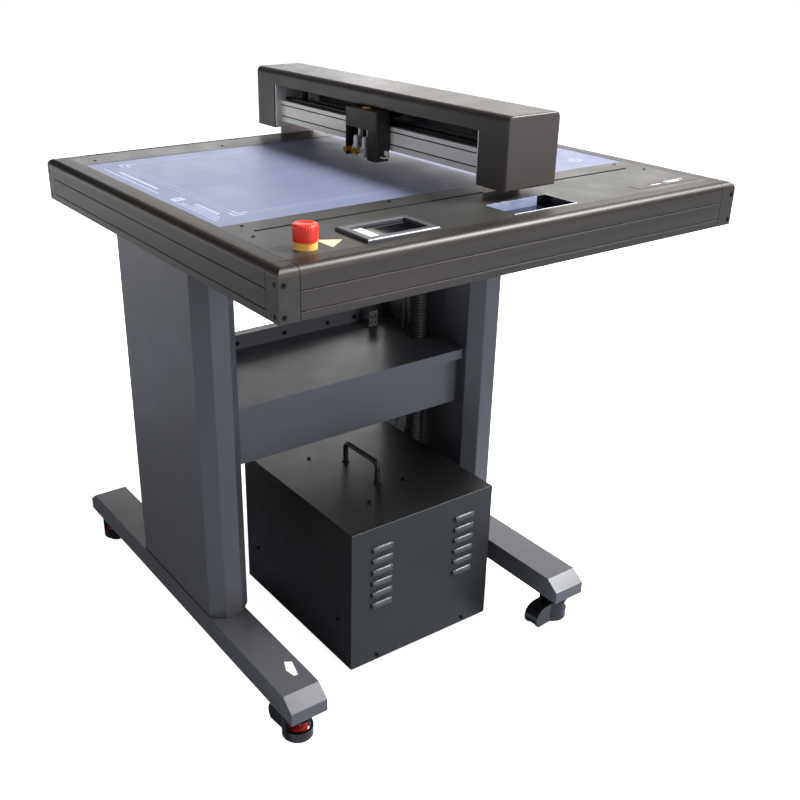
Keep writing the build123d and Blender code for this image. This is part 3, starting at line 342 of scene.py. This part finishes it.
def make_finishes():
    """Every finish, by the name it is used under."""
    along_x, along_y, along_z = (0.02, 1, 1), (1, 0.02, 1), (1, 1, 0.02)
    return {
        "rail_x": rail_finish("rail_along_x", along_x),
        "rail_y": rail_finish("rail_along_y", along_y),
        "deck": paint("deck_finish", "#343330", "#393835", 0.38, 0.46),
        "mat": mat_finish(),
        "stand": paint("stand_finish", "#494a4d", "#4d4e52", 0.35, 0.43, grain=0.07),
        "vacuum": paint("vacuum_finish", "#0c0d0d", "#101111", 0.38, 0.46, grain=0.09),
        "cover": paint("cover_finish", "#413c3a", "#46413e", 0.38, 0.44, grain=0.05, specular=0.34),
        "beam": drawn_metal("beam_finish", "#dedddb", "#f0efed", 0.36, 0.5, along_y, metallic=0.15),
        "arm": drawn_metal("arm_finish", "#d2c4bc", "#eadcd3", 0.32, 0.44, along_z, metallic=0.45),
        "dark_steel": drawn_metal("dark_steel", "#1c1c1c", "#2a2a29", 0.35, 0.5, (1, 1, 1), grain=0.03,
                                  scale=200),
        "bright_steel": drawn_metal("bright_steel", "#b8b8b8", "#dcdcda", 0.16, 0.3, along_z),
        "tool_metal": drawn_metal("tool_finish", "#e2e2e0", "#f4f4f2", 0.24, 0.36, along_z,
                                  metallic=0.1),
        "brass": drawn_metal("brass_finish", "#b0812f", "#dcae55", 0.22, 0.36, (1, 1, 1),
                             metallic=0.7, scale=260),
        "plastic": moulded("black_plastic_finish", "#161616", "#1f1f1f", 0.32, 0.44),
        "head": moulded("head_finish", "#131212", "#191818", 0.42, 0.52, grain=0.06),
        "gloss_plastic": moulded("gloss_plastic_finish", "#0e0e0f", "#151516", 0.16, 0.26, grain=0.02),
        "rubber": moulded("rubber_finish", "#100f0e", "#1a1918", 0.5, 0.65, grain=0.08, scale=600),
        # painted highlight: a paler copy of the vacuum box's paint for the louvre hoods, where they
        # catch the light
        "louvre": paint("louvre_painted_highlight", "#2e3030", "#3a3c3b", 0.34, 0.44, grain=0.05),
        "glass": moulded("glass_finish", "#05060a", "#090a10", 0.05, 0.09, grain=0.0),
        "red": moulded("red_finish", "#e42d1d", "#f03b27", 0.3, 0.42, grain=0.02),
        "thumb_red": moulded("thumb_red_finish", "#8e1d1a", "#b02822", 0.3, 0.42, grain=0.02),
        "yellow": moulded("yellow_finish", "#f2b04a", "#fbc062", 0.34, 0.46, grain=0.02),
        "cable": moulded("cable_finish", "#80807d", "#8f8f8c", 0.45, 0.6, grain=0.02),
        "print": moulded("print_finish", "#b2b7d8", "#c0c4e2", 0.4, 0.55, grain=0.01),
        "faint_print": moulded("faint_print_finish", "#9ea2cf", "#a8acd6", 0.4, 0.55, grain=0.01),
        "label": moulded("label_finish", "#d9c79c", "#e6d7b4", 0.4, 0.55, grain=0.01),
        "paper": moulded("paper_finish", "#d7d6d2", "#e6e5e1", 0.5, 0.65, grain=0.02),
        "tray_blue": moulded("tray_blue_finish", "#8d95b4", "#a3aac6", 0.12, 0.2, grain=0.01),
        "tray_dark": moulded("tray_dark_finish", "#141624", "#1c1f33", 0.1, 0.18, grain=0.01),
        "placard": moulded("placard_finish", "#3e3a3a", "#464241", 0.42, 0.5, grain=0.01),
        "bezel": moulded("bezel_finish", "#47484d", "#525358", 0.3, 0.4, grain=0.03),
        "pale_label": moulded("pale_label_finish", "#dcd0aa", "#e8ddbb", 0.4, 0.5, grain=0.01),
        "pale_knob": moulded("pale_knob_finish", "#8d8d78", "#a5a58e", 0.3, 0.4, grain=0.01),
        "bracket": paint("bracket_finish", "#4c4d4c", "#5a5b5a", 0.4, 0.5),
    }


CAD_FINISHES = {
    "deck": ("control_panel", "deck_sheet"),
    "rail_x": ("front_rail", "rear_rail"),
    "rail_y": ("side_rails",),
    "dark_steel": ("socket_screws", "head_guide"),
    "mat": ("cutting_mat",),
    "stand": ("vacuum_bed", "bottom_pan"),
    "glass": ("display_screen",),
    "plastic": ("power_inlet", "travel_motor", "hose_elbow", "head_motor", "vacuum_handle"),
    "head": ("head_cover", "head_carriage"),
    "bright_steel": ("guide_rails", "drive_shaft", "idler_shaft", "shaft_bearings"),
    "tool_metal": ("tool_left", "tool_right"),
    "rubber": ("travel_belts", "head_belt"),
    "vacuum": ("vacuum_cover", "vacuum_base", "blower_housing"),
    "beam": ("gantry_beam", "blower_impeller"),
    "cover": ("gantry_cover", "gantry_end_covers"),
    "gloss_plastic": ("power_rocker",),
}
CORNERS = ("front_left", "front_right", "rear_left", "rear_right")


def dress_nodes(finishes):
    """Give every CAD node that stays visible its finish."""
    for key, names in CAD_FINISHES.items():
        for name in names:
            set_finish(NODES[name], finishes[key])
    for corner in CORNERS:
        for part in ("caster", "wheel"):
            set_finish(NODES[f"{corner}_{part}"], finishes["gloss_plastic"])


def set_finish(node, finish):
    """Put one finish in all of a CAD object's material slots."""
    if not node.material_slots:
        node.data.materials.append(finish)
    for holder in node.material_slots:
        holder.material = finish


# ---------------------------------------------------------------- hose and cable
HOSE_R, HOSE_GROOVE, HOSE_PITCH = 25.0, 1.6, 7.5
HOSE_ROUTE = [(115, -18, 925), (115, -18, 820), (118, -16.5, 640), (118.5, -16, 480),
              (115, -18, 370), (115, -18, 300)]
CABLE_R = 2.0
CABLE_ROUTE = [(105, 25, 921), (105, 25, 880), (107.5, 24.6, 825), (108.8, 24.2, 768),
               (108.4, 24.4, 710), (106.6, 25, 655), (105, 26.5, 600), (105.6, 29, 545),
               (107.5, 33, 490), (109, 37, 437), (108.5, 39.5, 390), (106, 40, 357),
               (102, 40, 338.5), (94, 40, 333), (84, 40, 333)]


def route_curve(name, route, radius=0.0):
    """A smooth curve with the route's points as its control points."""
    curve = bpy.data.curves.new(name, "CURVE")
    curve.dimensions = "3D"
    spline = curve.splines.new("NURBS")
    spline.points.add(len(route) - 1)
    for point, place in zip(spline.points, route):
        point.co = (*at(*place), 1)
    spline.order_u = 3
    spline.use_endpoint_u = True
    curve.resolution_u = 24
    curve.bevel_depth = radius * MM
    curve.bevel_resolution = 6
    return curve


def route_points(name, route):
    """The points that a route's smooth curve runs through, read from the curve itself."""
    holder = bpy.data.objects.new(name, route_curve(name, route))
    bpy.context.collection.objects.link(holder)
    line = bpy.data.meshes.new_from_object(holder)
    points = [vertex.co.copy() for vertex in line.vertices]
    bpy.data.objects.remove(holder)
    return points


def length_of(points):
    return sum((b - a).length for a, b in zip(points, points[1:]))


def ribbed_hose(finish):
    """Wire-wound hose: rings along its route, drawn in between the turns."""
    path = route_points("hose_route", HOSE_ROUTE)
    edit = bmesh.new()
    rings = []
    sides, per_pitch = 40, 6
    total = length_of(path)
    steps = int(total / (HOSE_PITCH * MM)) * per_pitch
    travelled, index = 0.0, 0
    for step in range(steps + 1):
        target = total * step / steps
        while index < len(path) - 2 and travelled + (path[index + 1] - path[index]).length < target:
            travelled += (path[index + 1] - path[index]).length
            index += 1
        run = path[index + 1] - path[index]
        middle = path[index] + run.normalized() * (target - travelled)
        side_x = run.cross(Vector((0, 1, 0))).normalized()
        side_y = side_x.cross(run).normalized()
        fall = 0.5 - 0.5 * math.cos(2 * math.pi * step / per_pitch)
        radius = (HOSE_R - HOSE_GROOVE * fall) * MM
        rings.append([edit.verts.new(middle + radius * (side_x * math.cos(a) + side_y * math.sin(a)))
                      for a in (2 * math.pi * side / sides for side in range(sides))])
    for lower, upper in zip(rings, rings[1:]):
        for side in range(sides):
            after = (side + 1) % sides
            edit.faces.new((lower[side], lower[after], upper[after], upper[side]))
    edit.faces.new(rings[0])
    edit.faces.new(rings[-1])
    hose = add_object("ribbed_hose", mesh_from("ribbed_hose", edit, 60), "black_rubber", "root", finish)
    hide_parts("vacuum_hose")


def signal_cable(finish):
    """Thin grey cable hanging beside the hose."""
    cable = add_object("signal_lead", route_curve("signal_lead", CABLE_ROUTE, CABLE_R),
                       "cable_grey", "root", finish)
    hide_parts("signal_cable")
    length_of(route_points("lead_route", CABLE_ROUTE))


# ---------------------------------------------------------------- table frame details
SEAM = 1.1                      # open joint between a corner cap and its rails
GROOVE_HEIGHTS = (15.5, 51.5)   # V grooves in the rails' outer faces, above the underside
LEDGE_LOW, LEDGE_HIGH = 1.4, 0.8     # a ledge's lower and upper side, below its groove's middle
LEDGE_FRONT, LEDGE_BACK = 0.12, 1.0  # a ledge's front and back, inside the rail's face


def corner_caps(finishes):
    """Corner caps with softened edges, drawn back from the rails' ends by a dark seam."""
    caps = softened("corner_caps", 0.6, "rail_anodised", finishes["rail_y"])
    front_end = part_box("front_rail")[1].x
    side_low, side_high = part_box("side_rails")
    for vertex in caps.data.vertices:
        place = vertex.co
        if abs(abs(place.x) - front_end) < 1e-5:
            place.x += math.copysign(SEAM * MM, place.x)
        if abs(place.y - side_low.y) < 1e-5:
            place.y -= SEAM * MM
        if abs(place.y - side_high.y) < 1e-5:
            place.y += SEAM * MM


def groove_ledges(finishes):
    """Thin ledges that leave only the upper part of each rail's V grooves open."""
    rail_low, rail_high = limits("front_rail")
    side_low, side_high = limits("side_rails")
    fronts, sides = [], []
    for height in GROOVE_HEIGHTS:
        low, high = rail_low.z + height - LEDGE_LOW, rail_low.z + height - LEDGE_HIGH
        fronts.append(((rail_low.x, rail_low.y + LEDGE_FRONT, low),
                       (rail_high.x, rail_low.y + LEDGE_BACK, high)))
        sides.append(((side_low.x + LEDGE_FRONT, side_low.y, low),
                      (side_low.x + LEDGE_BACK, side_high.y, high)))
        sides.append(((side_high.x - LEDGE_BACK, side_low.y, low),
                      (side_high.x - LEDGE_FRONT, side_high.y, high)))
    boxes("front_groove_ledges", fronts, "rail_anodised", finishes["rail_x"], rounded=0)
    boxes("side_groove_ledges", sides, "rail_anodised", finishes["rail_y"], rounded=0)


def deck_seam(finishes):
    """Dark joint line between the deck and the rails round it."""
    panel_low, panel_high = limits("control_panel")
    rear = limits("deck_sheet")[1].y
    edges = [strip(panel_low.x, panel_low.y, panel_high.x, panel_low.y, 0.9),
             strip(panel_low.x, panel_low.y, panel_low.x, rear, 0.9),
             strip(panel_high.x, panel_low.y, panel_high.x, rear, 0.9)]
    flat_shapes("deck_seam", edges, TABLE_TOP, "deck_paint", finishes["rubber"], thickness=0.05)


# ---------------------------------------------------------------- table top details
FRAME_X, FRAME_Y = (-452.0, 452.0), (-170.0, 350.0)   # printed frame on the mat
FRAME_GROWTH = 12.0                                   # gap between the frame's two lines
MARK_L = 22.0                                         # arm of a corner mark
# each row of plain bars: x, first y, last y, width, bar length, gap
MAT_BAR_ROWS = ((-491, 100, 297, 7, 11, 3), (-507, 60, 350, 4, 9, 3),
                (-484, -156, -56, 8, 10, 4), (-494, -178, -70, 3, 7, 3),
                (-502, -190, -30, 3, 8, 3), (-510, -196, -14, 3, 6, 3))


def mat_print(finishes):
    """Printed frame of the mat: two thin lines, corner marks and plain bars."""
    z = limits("cutting_mat")[1].z
    lines, marks = [], []
    for grow in (0.0, FRAME_GROWTH):
        x0, x1 = FRAME_X[0] - grow, FRAME_X[1] + grow
        y0, y1 = FRAME_Y[0] - grow, FRAME_Y[1] + grow
        lines += [strip(x0, y0, x1, y0, 1.2), strip(x0, y1, x1, y1, 1.2),
                  strip(x0, y0, x0, y1, 1.2), strip(x1, y0, x1, y1, 1.2)]
        for x, inward_x in ((x0, 1), (x1, -1)):
            for y, inward_y in ((y0, 1), (y1, -1)):
                marks.append(strip(x, y, x + inward_x * MARK_L, y, 4.5))
                marks.append(strip(x, y, x, y + inward_y * MARK_L, 4.5))
    flat_shapes("mat_frame_lines", lines, z, "cutting_felt", finishes["faint_print"], thickness=0.1)
    bars = []
    for x, y0, y1, width, dash, gap in MAT_BAR_ROWS:
        y = y0
        while y + dash <= y1:
            bars.append(strip(x, y, x, y + dash, width))
            y += dash + gap
    flat_shapes("mat_bars", bars, z, "cutting_felt", finishes["print"], thickness=0.1)
    badge = [strip(-510, y, -484, y, 9) for y in (-14, 0)]
    badge += [strip(-510, -7, -504, -7, 6), strip(-490, -7, -484, -7, 6)]
    flat_shapes("mat_marks", marks + badge, z + 0.05, "cutting_felt", finishes["print"], thickness=0.12)


def display(finishes):
    """Bezel with softened edges, and a pale strip beside the dark window."""
    softened("display_bezel", 0.7, "black_plastic", finishes["bezel"])
    low, high = limits("display_screen")
    z = high.z
    boxes("display_strip", [((low.x + 5, low.y + 4, z), (low.x + 36, high.y - 4, z + 0.6))],
          "screen_glass", finishes["paper"])
    boxes("display_window", [((low.x + 37, low.y + 4, z), (high.x - 5, high.y - 4, z + 0.9))],
          "screen_glass", finishes["glass"])


def tray(finishes):
    """Tray with a film on its rear wall and floor, and a thin bright front edge."""
    set_finish(NODES["tool_tray"], finishes["gloss_plastic"])
    low, high = limits("tool_tray")
    inner = 2.2
    floor_z = low.z + inner
    boxes("tray_rear_film", [((low.x + inner, high.y - inner - 0.5, floor_z),
                              (high.x - 24, high.y - inner, high.z - 0.5))],
          "black_plastic", finishes["tray_blue"])
    boxes("tray_floor_film", [((low.x + inner, low.y + inner, floor_z),
                               (high.x - 24, high.y - inner - 0.6, floor_z + 0.4))],
          "black_plastic", finishes["tray_dark"])
    boxes("tray_front_edge", [((low.x, low.y - 0.8, high.z), (high.x, low.y + 1.2, high.z + 0.8))],
          "black_plastic", finishes["beam"])


HEAD_GAP = 0.6            # from the collar's top to the foot of the head's skirt
HEAD_HEIGHT = 26.4        # height of the profile below before it is fitted to the button
HEAD_PROFILE = [(7.6, 6.0), (21.4, 6.0), (21.4, 0.0), (22.1, 0.0), (22.3, 1.2), (22.3, 11.0),
                (22.4, 12.2), (22.6, 13.4), (22.6, 15.0), (22.6, 21.5), (22.3, 23.0),
                (21.4, 24.6), (19.6, 25.8), (17.0, 26.4), (14.5, 26.3), (13.4, 25.6),
                (0.3, 25.2)]


def stop_button(finishes):
    """Twist-release head with a ridged rim, on its yellow collar."""
    low, high = limits("estop_button")
    centre = (low + high) / 2
    collar_top = limits("estop_collar")[1].z
    scale = (high.z - collar_top - HEAD_GAP) / HEAD_HEIGHT
    profile = [(radius, height * scale) for radius, height in HEAD_PROFILE]
    head = lathe("stop_head", profile, (centre.x, centre.y, collar_top + HEAD_GAP), (0, 0, 1),
                 "stop_red", finishes["red"], "stop_button",
                 ridges=(30, 0.45, 14.5 * scale, 22.0 * scale), sides=180)
    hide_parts("estop_button")
    lathe("stop_stem", [(7.6, 0.0), (7.6, 7.0)], (centre.x, centre.y, collar_top), (0, 0, 1),
          "stop_red", finishes["red"], "stop_button", sides=48)
    set_finish(NODES["estop_collar"], finishes["yellow"])


def stickers(finishes):
    """Plain triangle beside the stop button, blank placard at the right, scrap on the left foot."""
    triangle = [(-429, -412), (-427, -457), (-395, -432)]
    border = [(-431, -407), (-429, -463), (-388, -432)]
    flat_shapes("triangle_border", [border], TABLE_TOP, "deck_paint", finishes["label"], thickness=0.12)
    flat_shapes("triangle_field", [triangle], TABLE_TOP + 0.1, "deck_paint", finishes["pale_label"],
                thickness=0.1)
    flat_shapes("placard", [strip(343, -444, 533, -444, 34)], TABLE_TOP, "deck_paint",
                finishes["placard"], thickness=0.5)
    bars = [strip(x, y, x + length, y, 4) for x, y, length in
            ((392, -448, 30), (440, -441, 58), (440, -449, 40))]
    flat_shapes("placard_bars", bars, TABLE_TOP + 0.5, "deck_paint", finishes["paper"], thickness=0.1)
    foot_top = limits("feet")[1].z
    scrap = [(-507, -393), (-493, -401), (-504, -443), (-513, -442), (-518, -419)]
    flat_shapes("foot_scrap", [scrap], foot_top, "stand_paint", finishes["paper"], thickness=0.2)


# ---------------------------------------------------------------- gantry and head details
BEAM_FACE = 50.0               # x of the beam's grooved face
BEAM_GROOVES = (1070.0, 1098.0)     # lower edge of each of its grooves above the floor
BRACKET_Z = 1044.0             # underside of the head's bracket
SKIRT_TOP = 1099.0
SPRING_Z = 1062.0              # lower end of a tool's spring
SPRING_PITCH = 3               # from one turn of a tool's spring to the next
LEVER_X, LEVER_Z = 18, 1066


def head_details(finishes):
    """Brass adjuster on the head, side lever, bracket under the beam and knurled knobs."""
    low, high = limits("head_cover")
    lathe("head_adjuster", [(2.0, 0), (9.0, 0), (9.0, 2.0), (8.2, 2.6), (2.0, 2.6)],
          (low.x + 14, (low.y + high.y) / 2 - 4, high.z), (0, 0, 1), "knob_brass", finishes["brass"],
          "head", ridges=(40, 0.25, -0.1, 2.1), sides=160)
    boxes("head_bracket",
          [((low.x + 12, low.y - 14, BRACKET_Z), (low.x + 26, low.y, BRACKET_Z + 3)),
           ((low.x + 23, low.y - 14, BRACKET_Z), (low.x + 26, low.y, BRACKET_Z + 16))],
          "beam_aluminium", finishes["beam"], "head", rounded=0.6)
    lathe("head_bracket_bolt", [(0.4, 0), (3.2, 0), (3.2, 3), (0.4, 3)],
          (low.x + 18, low.y - 8, BRACKET_Z + 3), (0, 0, 1), "steel_dark",
          finishes["dark_steel"], "head", sides=24)
    boxes("head_skirt",
          [((low.x - 0.6, low.y + 1.5, low.z + 1), (low.x + 0.4, low.y + 33, SKIRT_TOP))],
          "black_plastic", finishes["rubber"], "head", rounded=0.2)
    for side in ("left", "right"):
        knob_low, knob_high = limits(f"knob_{side}")
        tool_low, tool_high = limits(f"tool_{side}")
        y, z = (knob_low.y + knob_high.y) / 2, (knob_low.z + knob_high.z) / 2
        profile = [(0.4, 2.0), (3.6, 2.0), (3.8, 0.4), (5.4, 0.2), (6.0, 0.8), (6.0, 7.5), (5.2, 8.3),
                   (4.2, 8.8), (4.2, 11.0), (5.6, 11.6), (5.9, 12.2), (5.9, 17.6), (5.2, 18.4),
                   (2.4, 18.6), (2.4, 25.5)]
        knob = lathe(f"knurled_knob_{side}", profile, (knob_low.x, y, z), (1, 0, 0), "knob_brass",
                     finishes["brass"], f"{side}_knob", ridges=(24, 0.22, 0.7, 7.6), sides=120)
        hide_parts(f"knob_{side}")
        tool_x, tool_y = tool_low.x + 15, (tool_low.y + tool_high.y) / 2
        lathe(f"tool_spring_{side}", [(0.4, 0), (6.3, 0), (6.3, 15), (0.4, 15)],
              (tool_x, tool_y, SPRING_Z), (0, 0, 1), "steel_bright", finishes["tool_metal"],
              f"{side}_tool", sides=48)
        for turn in range(5):
            lathe(f"tool_ring_{side}_{turn}", [(5.8, 0), (6.9, 0.3), (6.9, 1.5), (5.8, 1.8)],
                  (tool_x, tool_y, SPRING_Z + 0.4 + SPRING_PITCH * turn), (0, 0, 1), "steel_bright",
                  finishes["tool_metal"], f"{side}_tool", sides=48)
    tool_front = limits("tool_right")[0].y
    lathe("side_lever", [(0.4, 0), (4.4, 0), (4.8, 0.6), (4.8, 3.6), (4.2, 4.2), (0.4, 4.2)],
          (LEVER_X, tool_front + 1.2, LEVER_Z), (0, -1, 0), "steel_bright", finishes["pale_knob"],
          "right_tool", ridges=(16, 0.2, 0.4, 3.7), sides=96)
    lathe("side_lever_pin", [(1.6, 0), (1.6, 6)], (LEVER_X, tool_front + 6.5, LEVER_Z),
          (0, -1, 0), "steel_bright", finishes["bright_steel"], "right_tool", sides=24)


def beam_grooves(finishes):
    """Black strips in the two grooves along the beam's face: painted shade in the grooves."""
    low, high = limits("gantry_beam")
    strips = []
    for groove_low in BEAM_GROOVES:
        strips.append(((BEAM_FACE + 0.5, low.y + 6, groove_low + 0.2),
                       (BEAM_FACE + 2.4, high.y - 6, groove_low + 2.8)))
    # dark strips painted as the shade inside the grooves
    boxes("beam_groove_shade", strips, "beam_aluminium", finishes["rubber"], "gantry", rounded=0)


# ---------------------------------------------------------------- stand details
def hose_bracket(finishes):
    """Perforated angle bracket behind the shelf, left of the hose."""
    edit = bmesh.new()
    x0, x1, y, z0, z1 = 44.0, 70.0, 84.0, 612.0, 650.0
    box_mesh(edit, (x0, y, z0), (x1, y + 2, z1))
    box_mesh(edit, (x0, y + 2, z0), (x1, y + 26, z0 + 2))
    bracket = add_object("angle_bracket", mesh_from("angle_bracket", edit), "stand_paint",
                         "root", finishes["bracket"])
    round_edges(bracket, 0.4, 2)
    # the holes are dark discs on the bracket's face: painted shade in place of the view through them
    for x in (50.0, 63.0):
        for z in (622.0, 637.0):
            lathe(f"bracket_hole_shade_{int(x)}_{int(z)}", [(0.3, 0), (2.6, 0), (2.6, 0.3), (0.3, 0.3)],
                  (x, y, z), (0, -1, 0), "steel_dark", finishes["dark_steel"], sides=24)


LOUVRE_ROWS, LOUVRE_PITCH, LOUVRE_LENGTH = 6, 28.8, 60.0
LOUVRE_INSET, LOUVRE_TOP = 51.0, 304.0    # from the box's side, and height of the top row
LOUVRE_DEPTH = 6.0                        # how far the cover's own louvres stand out
VACUUM_WIDTH = 392.0


def louvre_hoods(finishes):
    """Pressed hoods over the vacuum box's louvres, in a paler copy of the box's paint: a painted
    highlight where the hoods catch the light.
    """
    cover_low = limits("vacuum_cover")[0]
    face_y = cover_low.y + LOUVRE_DEPTH
    columns = (cover_low.x + LOUVRE_INSET,
               cover_low.x + VACUUM_WIDTH - LOUVRE_INSET - LOUVRE_LENGTH)
    edit = bmesh.new()
    for x in columns:
        for row in range(LOUVRE_ROWS):
            z = LOUVRE_TOP - row * LOUVRE_PITCH
            pressed_hood(edit, x, x + LOUVRE_LENGTH, face_y, z)
    add_object("louvre_hoods", mesh_from("louvre_hoods", edit, 60), "vacuum_paint", "root",
               finishes["louvre"])


def pressed_hood(edit, x0, x1, face_y, z, reach=6.9, rise=8.8, drop=3.4, steps=12):
    """Half a stretched dome standing out of a face: round above and at its ends, open below."""
    rings = []
    for step in range(steps + 1):
        angle = math.pi * step / steps
        middle = (x0 + x1) / 2
        half = (x1 - x0) / 2 + 0.6
        x = middle - half * math.cos(angle)
        swell = (1 - abs(math.cos(angle)) ** 6) ** 0.5
        ring = []
        for turn in range(9):
            lean = math.radians(-22 + 112 * turn / 8)
            height = max(rise * math.sin(lean) * swell, -drop)
            ring.append(edit.verts.new(at(x, face_y - reach * math.cos(lean) * swell, z + height)))
        rings.append(ring)
    for near, far in zip(rings, rings[1:]):
        for turn in range(8):
            edit.faces.new((near[turn], far[turn], far[turn + 1], near[turn + 1]))


def levelling_feet(finishes):
    """Rubber pad, steel washer and red thumbwheel of each caster, in place of its plain solid."""
    for corner in CORNERS:
        low, high = limits(f"{corner}_pad")
        x, y = (low.x + high.x) / 2, (low.y + high.y) / 2
        body = f"{corner}_foot"
        pad = lathe(f"{corner}_rubber_pad", [(0.4, 0), (17.5, 0), (19.4, 1.2), (19.8, 3), (19.8, 9),
                                             (18.8, 11.2), (16, 12), (0.4, 12)],
                    (x, y, 0), (0, 0, 1), "black_rubber", finishes["rubber"], body)
        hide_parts(f"{corner}_pad")
        lathe(f"{corner}_screw", [(0.4, 12), (9.5, 12), (9.5, 14), (5.8, 14.6), (5.8, 46), (0.4, 46)],
              (x, y, 0), (0, 0, 1), "steel_bright", finishes["bright_steel"], body, sides=48)
        lathe(f"{corner}_thumbwheel", [(7, 21), (20.0, 21), (20.6, 22), (20.6, 34), (20.0, 35),
                                       (12, 35), (11, 32), (7, 32)],
              (x, y, 0), (0, 0, 1), "stop_red", finishes["thumb_red"], body,
              ridges=(24, 0.5, 21.5, 34.5), sides=144)


# ---------------------------------------------------------------- studio
def area_light(name, place, aim, size, power, tint):
    """A soft rectangular light at place, facing aim; metres and watts."""
    data = bpy.data.lights.new(name, "AREA")
    data.shape = "RECTANGLE"
    data.size, data.size_y = size
    data.energy = power
    data.color = tint
    light = bpy.data.objects.new(name, data)
    light.location = place
    light.rotation_mode = "QUATERNION"
    light.rotation_quaternion = (Vector(aim) - Vector(place)).to_track_quat("-Z", "Y")
    light.visible_camera = False
    bpy.context.collection.objects.link(light)


def seen_and_lighting(tree, seen, lighting, target):
    """What the camera sees directly is seen; everything else is lit by lighting."""
    path = tree.nodes.new("ShaderNodeLightPath")
    mix = tree.nodes.new("ShaderNodeMixShader")
    tree.links.new(path.outputs["Is Camera Ray"], mix.inputs["Fac"])
    tree.links.new(lighting, mix.inputs[1])
    tree.links.new(seen, mix.inputs[2])
    tree.links.new(mix.outputs["Shader"], target)


def surroundings():
    """White backdrop whose light on the machine is a dim, slightly blue fill."""
    world = bpy.data.worlds.new("studio")
    bpy.context.scene.world = world
    world.use_nodes = True
    tree = world.node_tree
    fill = tree.nodes["Background"]
    fill.inputs["Color"].default_value = (0.97, 0.98, 1.0, 1)
    fill.inputs["Strength"].default_value = 0.08
    white = tree.nodes.new("ShaderNodeBackground")
    white.inputs["Color"].default_value = (1, 1, 1, 1)
    white.inputs["Strength"].default_value = 1.05
    seen_and_lighting(tree, white.outputs["Background"], fill.outputs["Background"],
                      tree.nodes["World Output"].inputs["Surface"])


def pale_floor():
    """Floor that looks white and takes a faint shadow, but gives the machine little light."""
    edit = bmesh.new()
    bmesh.ops.create_grid(edit, x_segments=2, y_segments=2, size=12)
    floor = add_object("floor", mesh_from("floor", edit))
    floor.location.z = -0.001
    pale = Finish("floor_finish", roughness=0.8)
    pale.colour(pale.noise(3), ((0.3, "#fafafa"), (0.7, "#ffffff")))
    pale.shader.inputs["Emission Color"].default_value = (1, 1, 1, 1)
    pale.shader.inputs["Emission Strength"].default_value = 0.92
    dim = pale.tree.nodes.new("ShaderNodeBsdfDiffuse")
    dim.inputs["Color"].default_value = (0.46, 0.49, 0.56, 1)
    seen_and_lighting(pale.tree, pale.shader.outputs["BSDF"], dim.outputs["BSDF"],
                      pale.tree.nodes["Material Output"].inputs["Surface"])
    floor.data.materials.append(pale.material)


def studio():
    """White surroundings, a key light high on the right and weaker panels on every side."""
    bpy.context.scene.view_settings.view_transform = "Standard"
    surroundings()
    pale_floor()
    area_light("key", (3.5, -2.1, 5.1), (0, 0, 0.8), (2.0, 1.7), 800, (0.98, 0.99, 1.0))
    area_light("right_panel", (3.4, 2.8, 2.1), (0.2, 0, 1.0), (2.6, 2.2), 44, (1.0, 0.98, 0.96))
    area_light("back_panel", (1.6, 4.0, 1.6), (0, 0, 0.9), (2.4, 1.4), 33, (0.98, 0.99, 1.0))
    area_light("front_fill", (0.4, -4.2, 1.4), (0.0, 0, 0.5), (2.6, 1.4), 76, (0.94, 0.96, 1.0))
    area_light("left_fill", (-3.2, 0.3, 1.5), (0, 0.1, 1.05), (1.6, 1.0), 21, (1.0, 1.0, 1.0))
    area_light("left_back", (-2.3, 3.4, 0.5), (-0.4, 0.2, 0.9), (1.6, 0.7), 12, (1.0, 0.99, 0.97))


# ---------------------------------------------------------------- build
make_camera()
FINISHES = make_finishes()
ribbed_hose(FINISHES["rubber"])
signal_cable(FINISHES["cable"])
dress_nodes(FINISHES)
corner_caps(FINISHES)
softened("legs", 2.0, "stand_paint", FINISHES["stand"])
softened("feet", 2.5, "stand_paint", FINISHES["stand"])
softened("shelf", 1.6, "stand_paint", FINISHES["stand"])
softened("stretchers", 1.2, "stand_paint", FINISHES["stand"])
softened("gantry_arms", 0.5, "arm_aluminium", FINISHES["arm"], "gantry")
groove_ledges(FINISHES)
deck_seam(FINISHES)
mat_print(FINISHES)
display(FINISHES)
tray(FINISHES)
stop_button(FINISHES)
stickers(FINISHES)
head_details(FINISHES)
hose_bracket(FINISHES)
beam_grooves(FINISHES)
levelling_feet(FINISHES)
louvre_hoods(FINISHES)
studio()
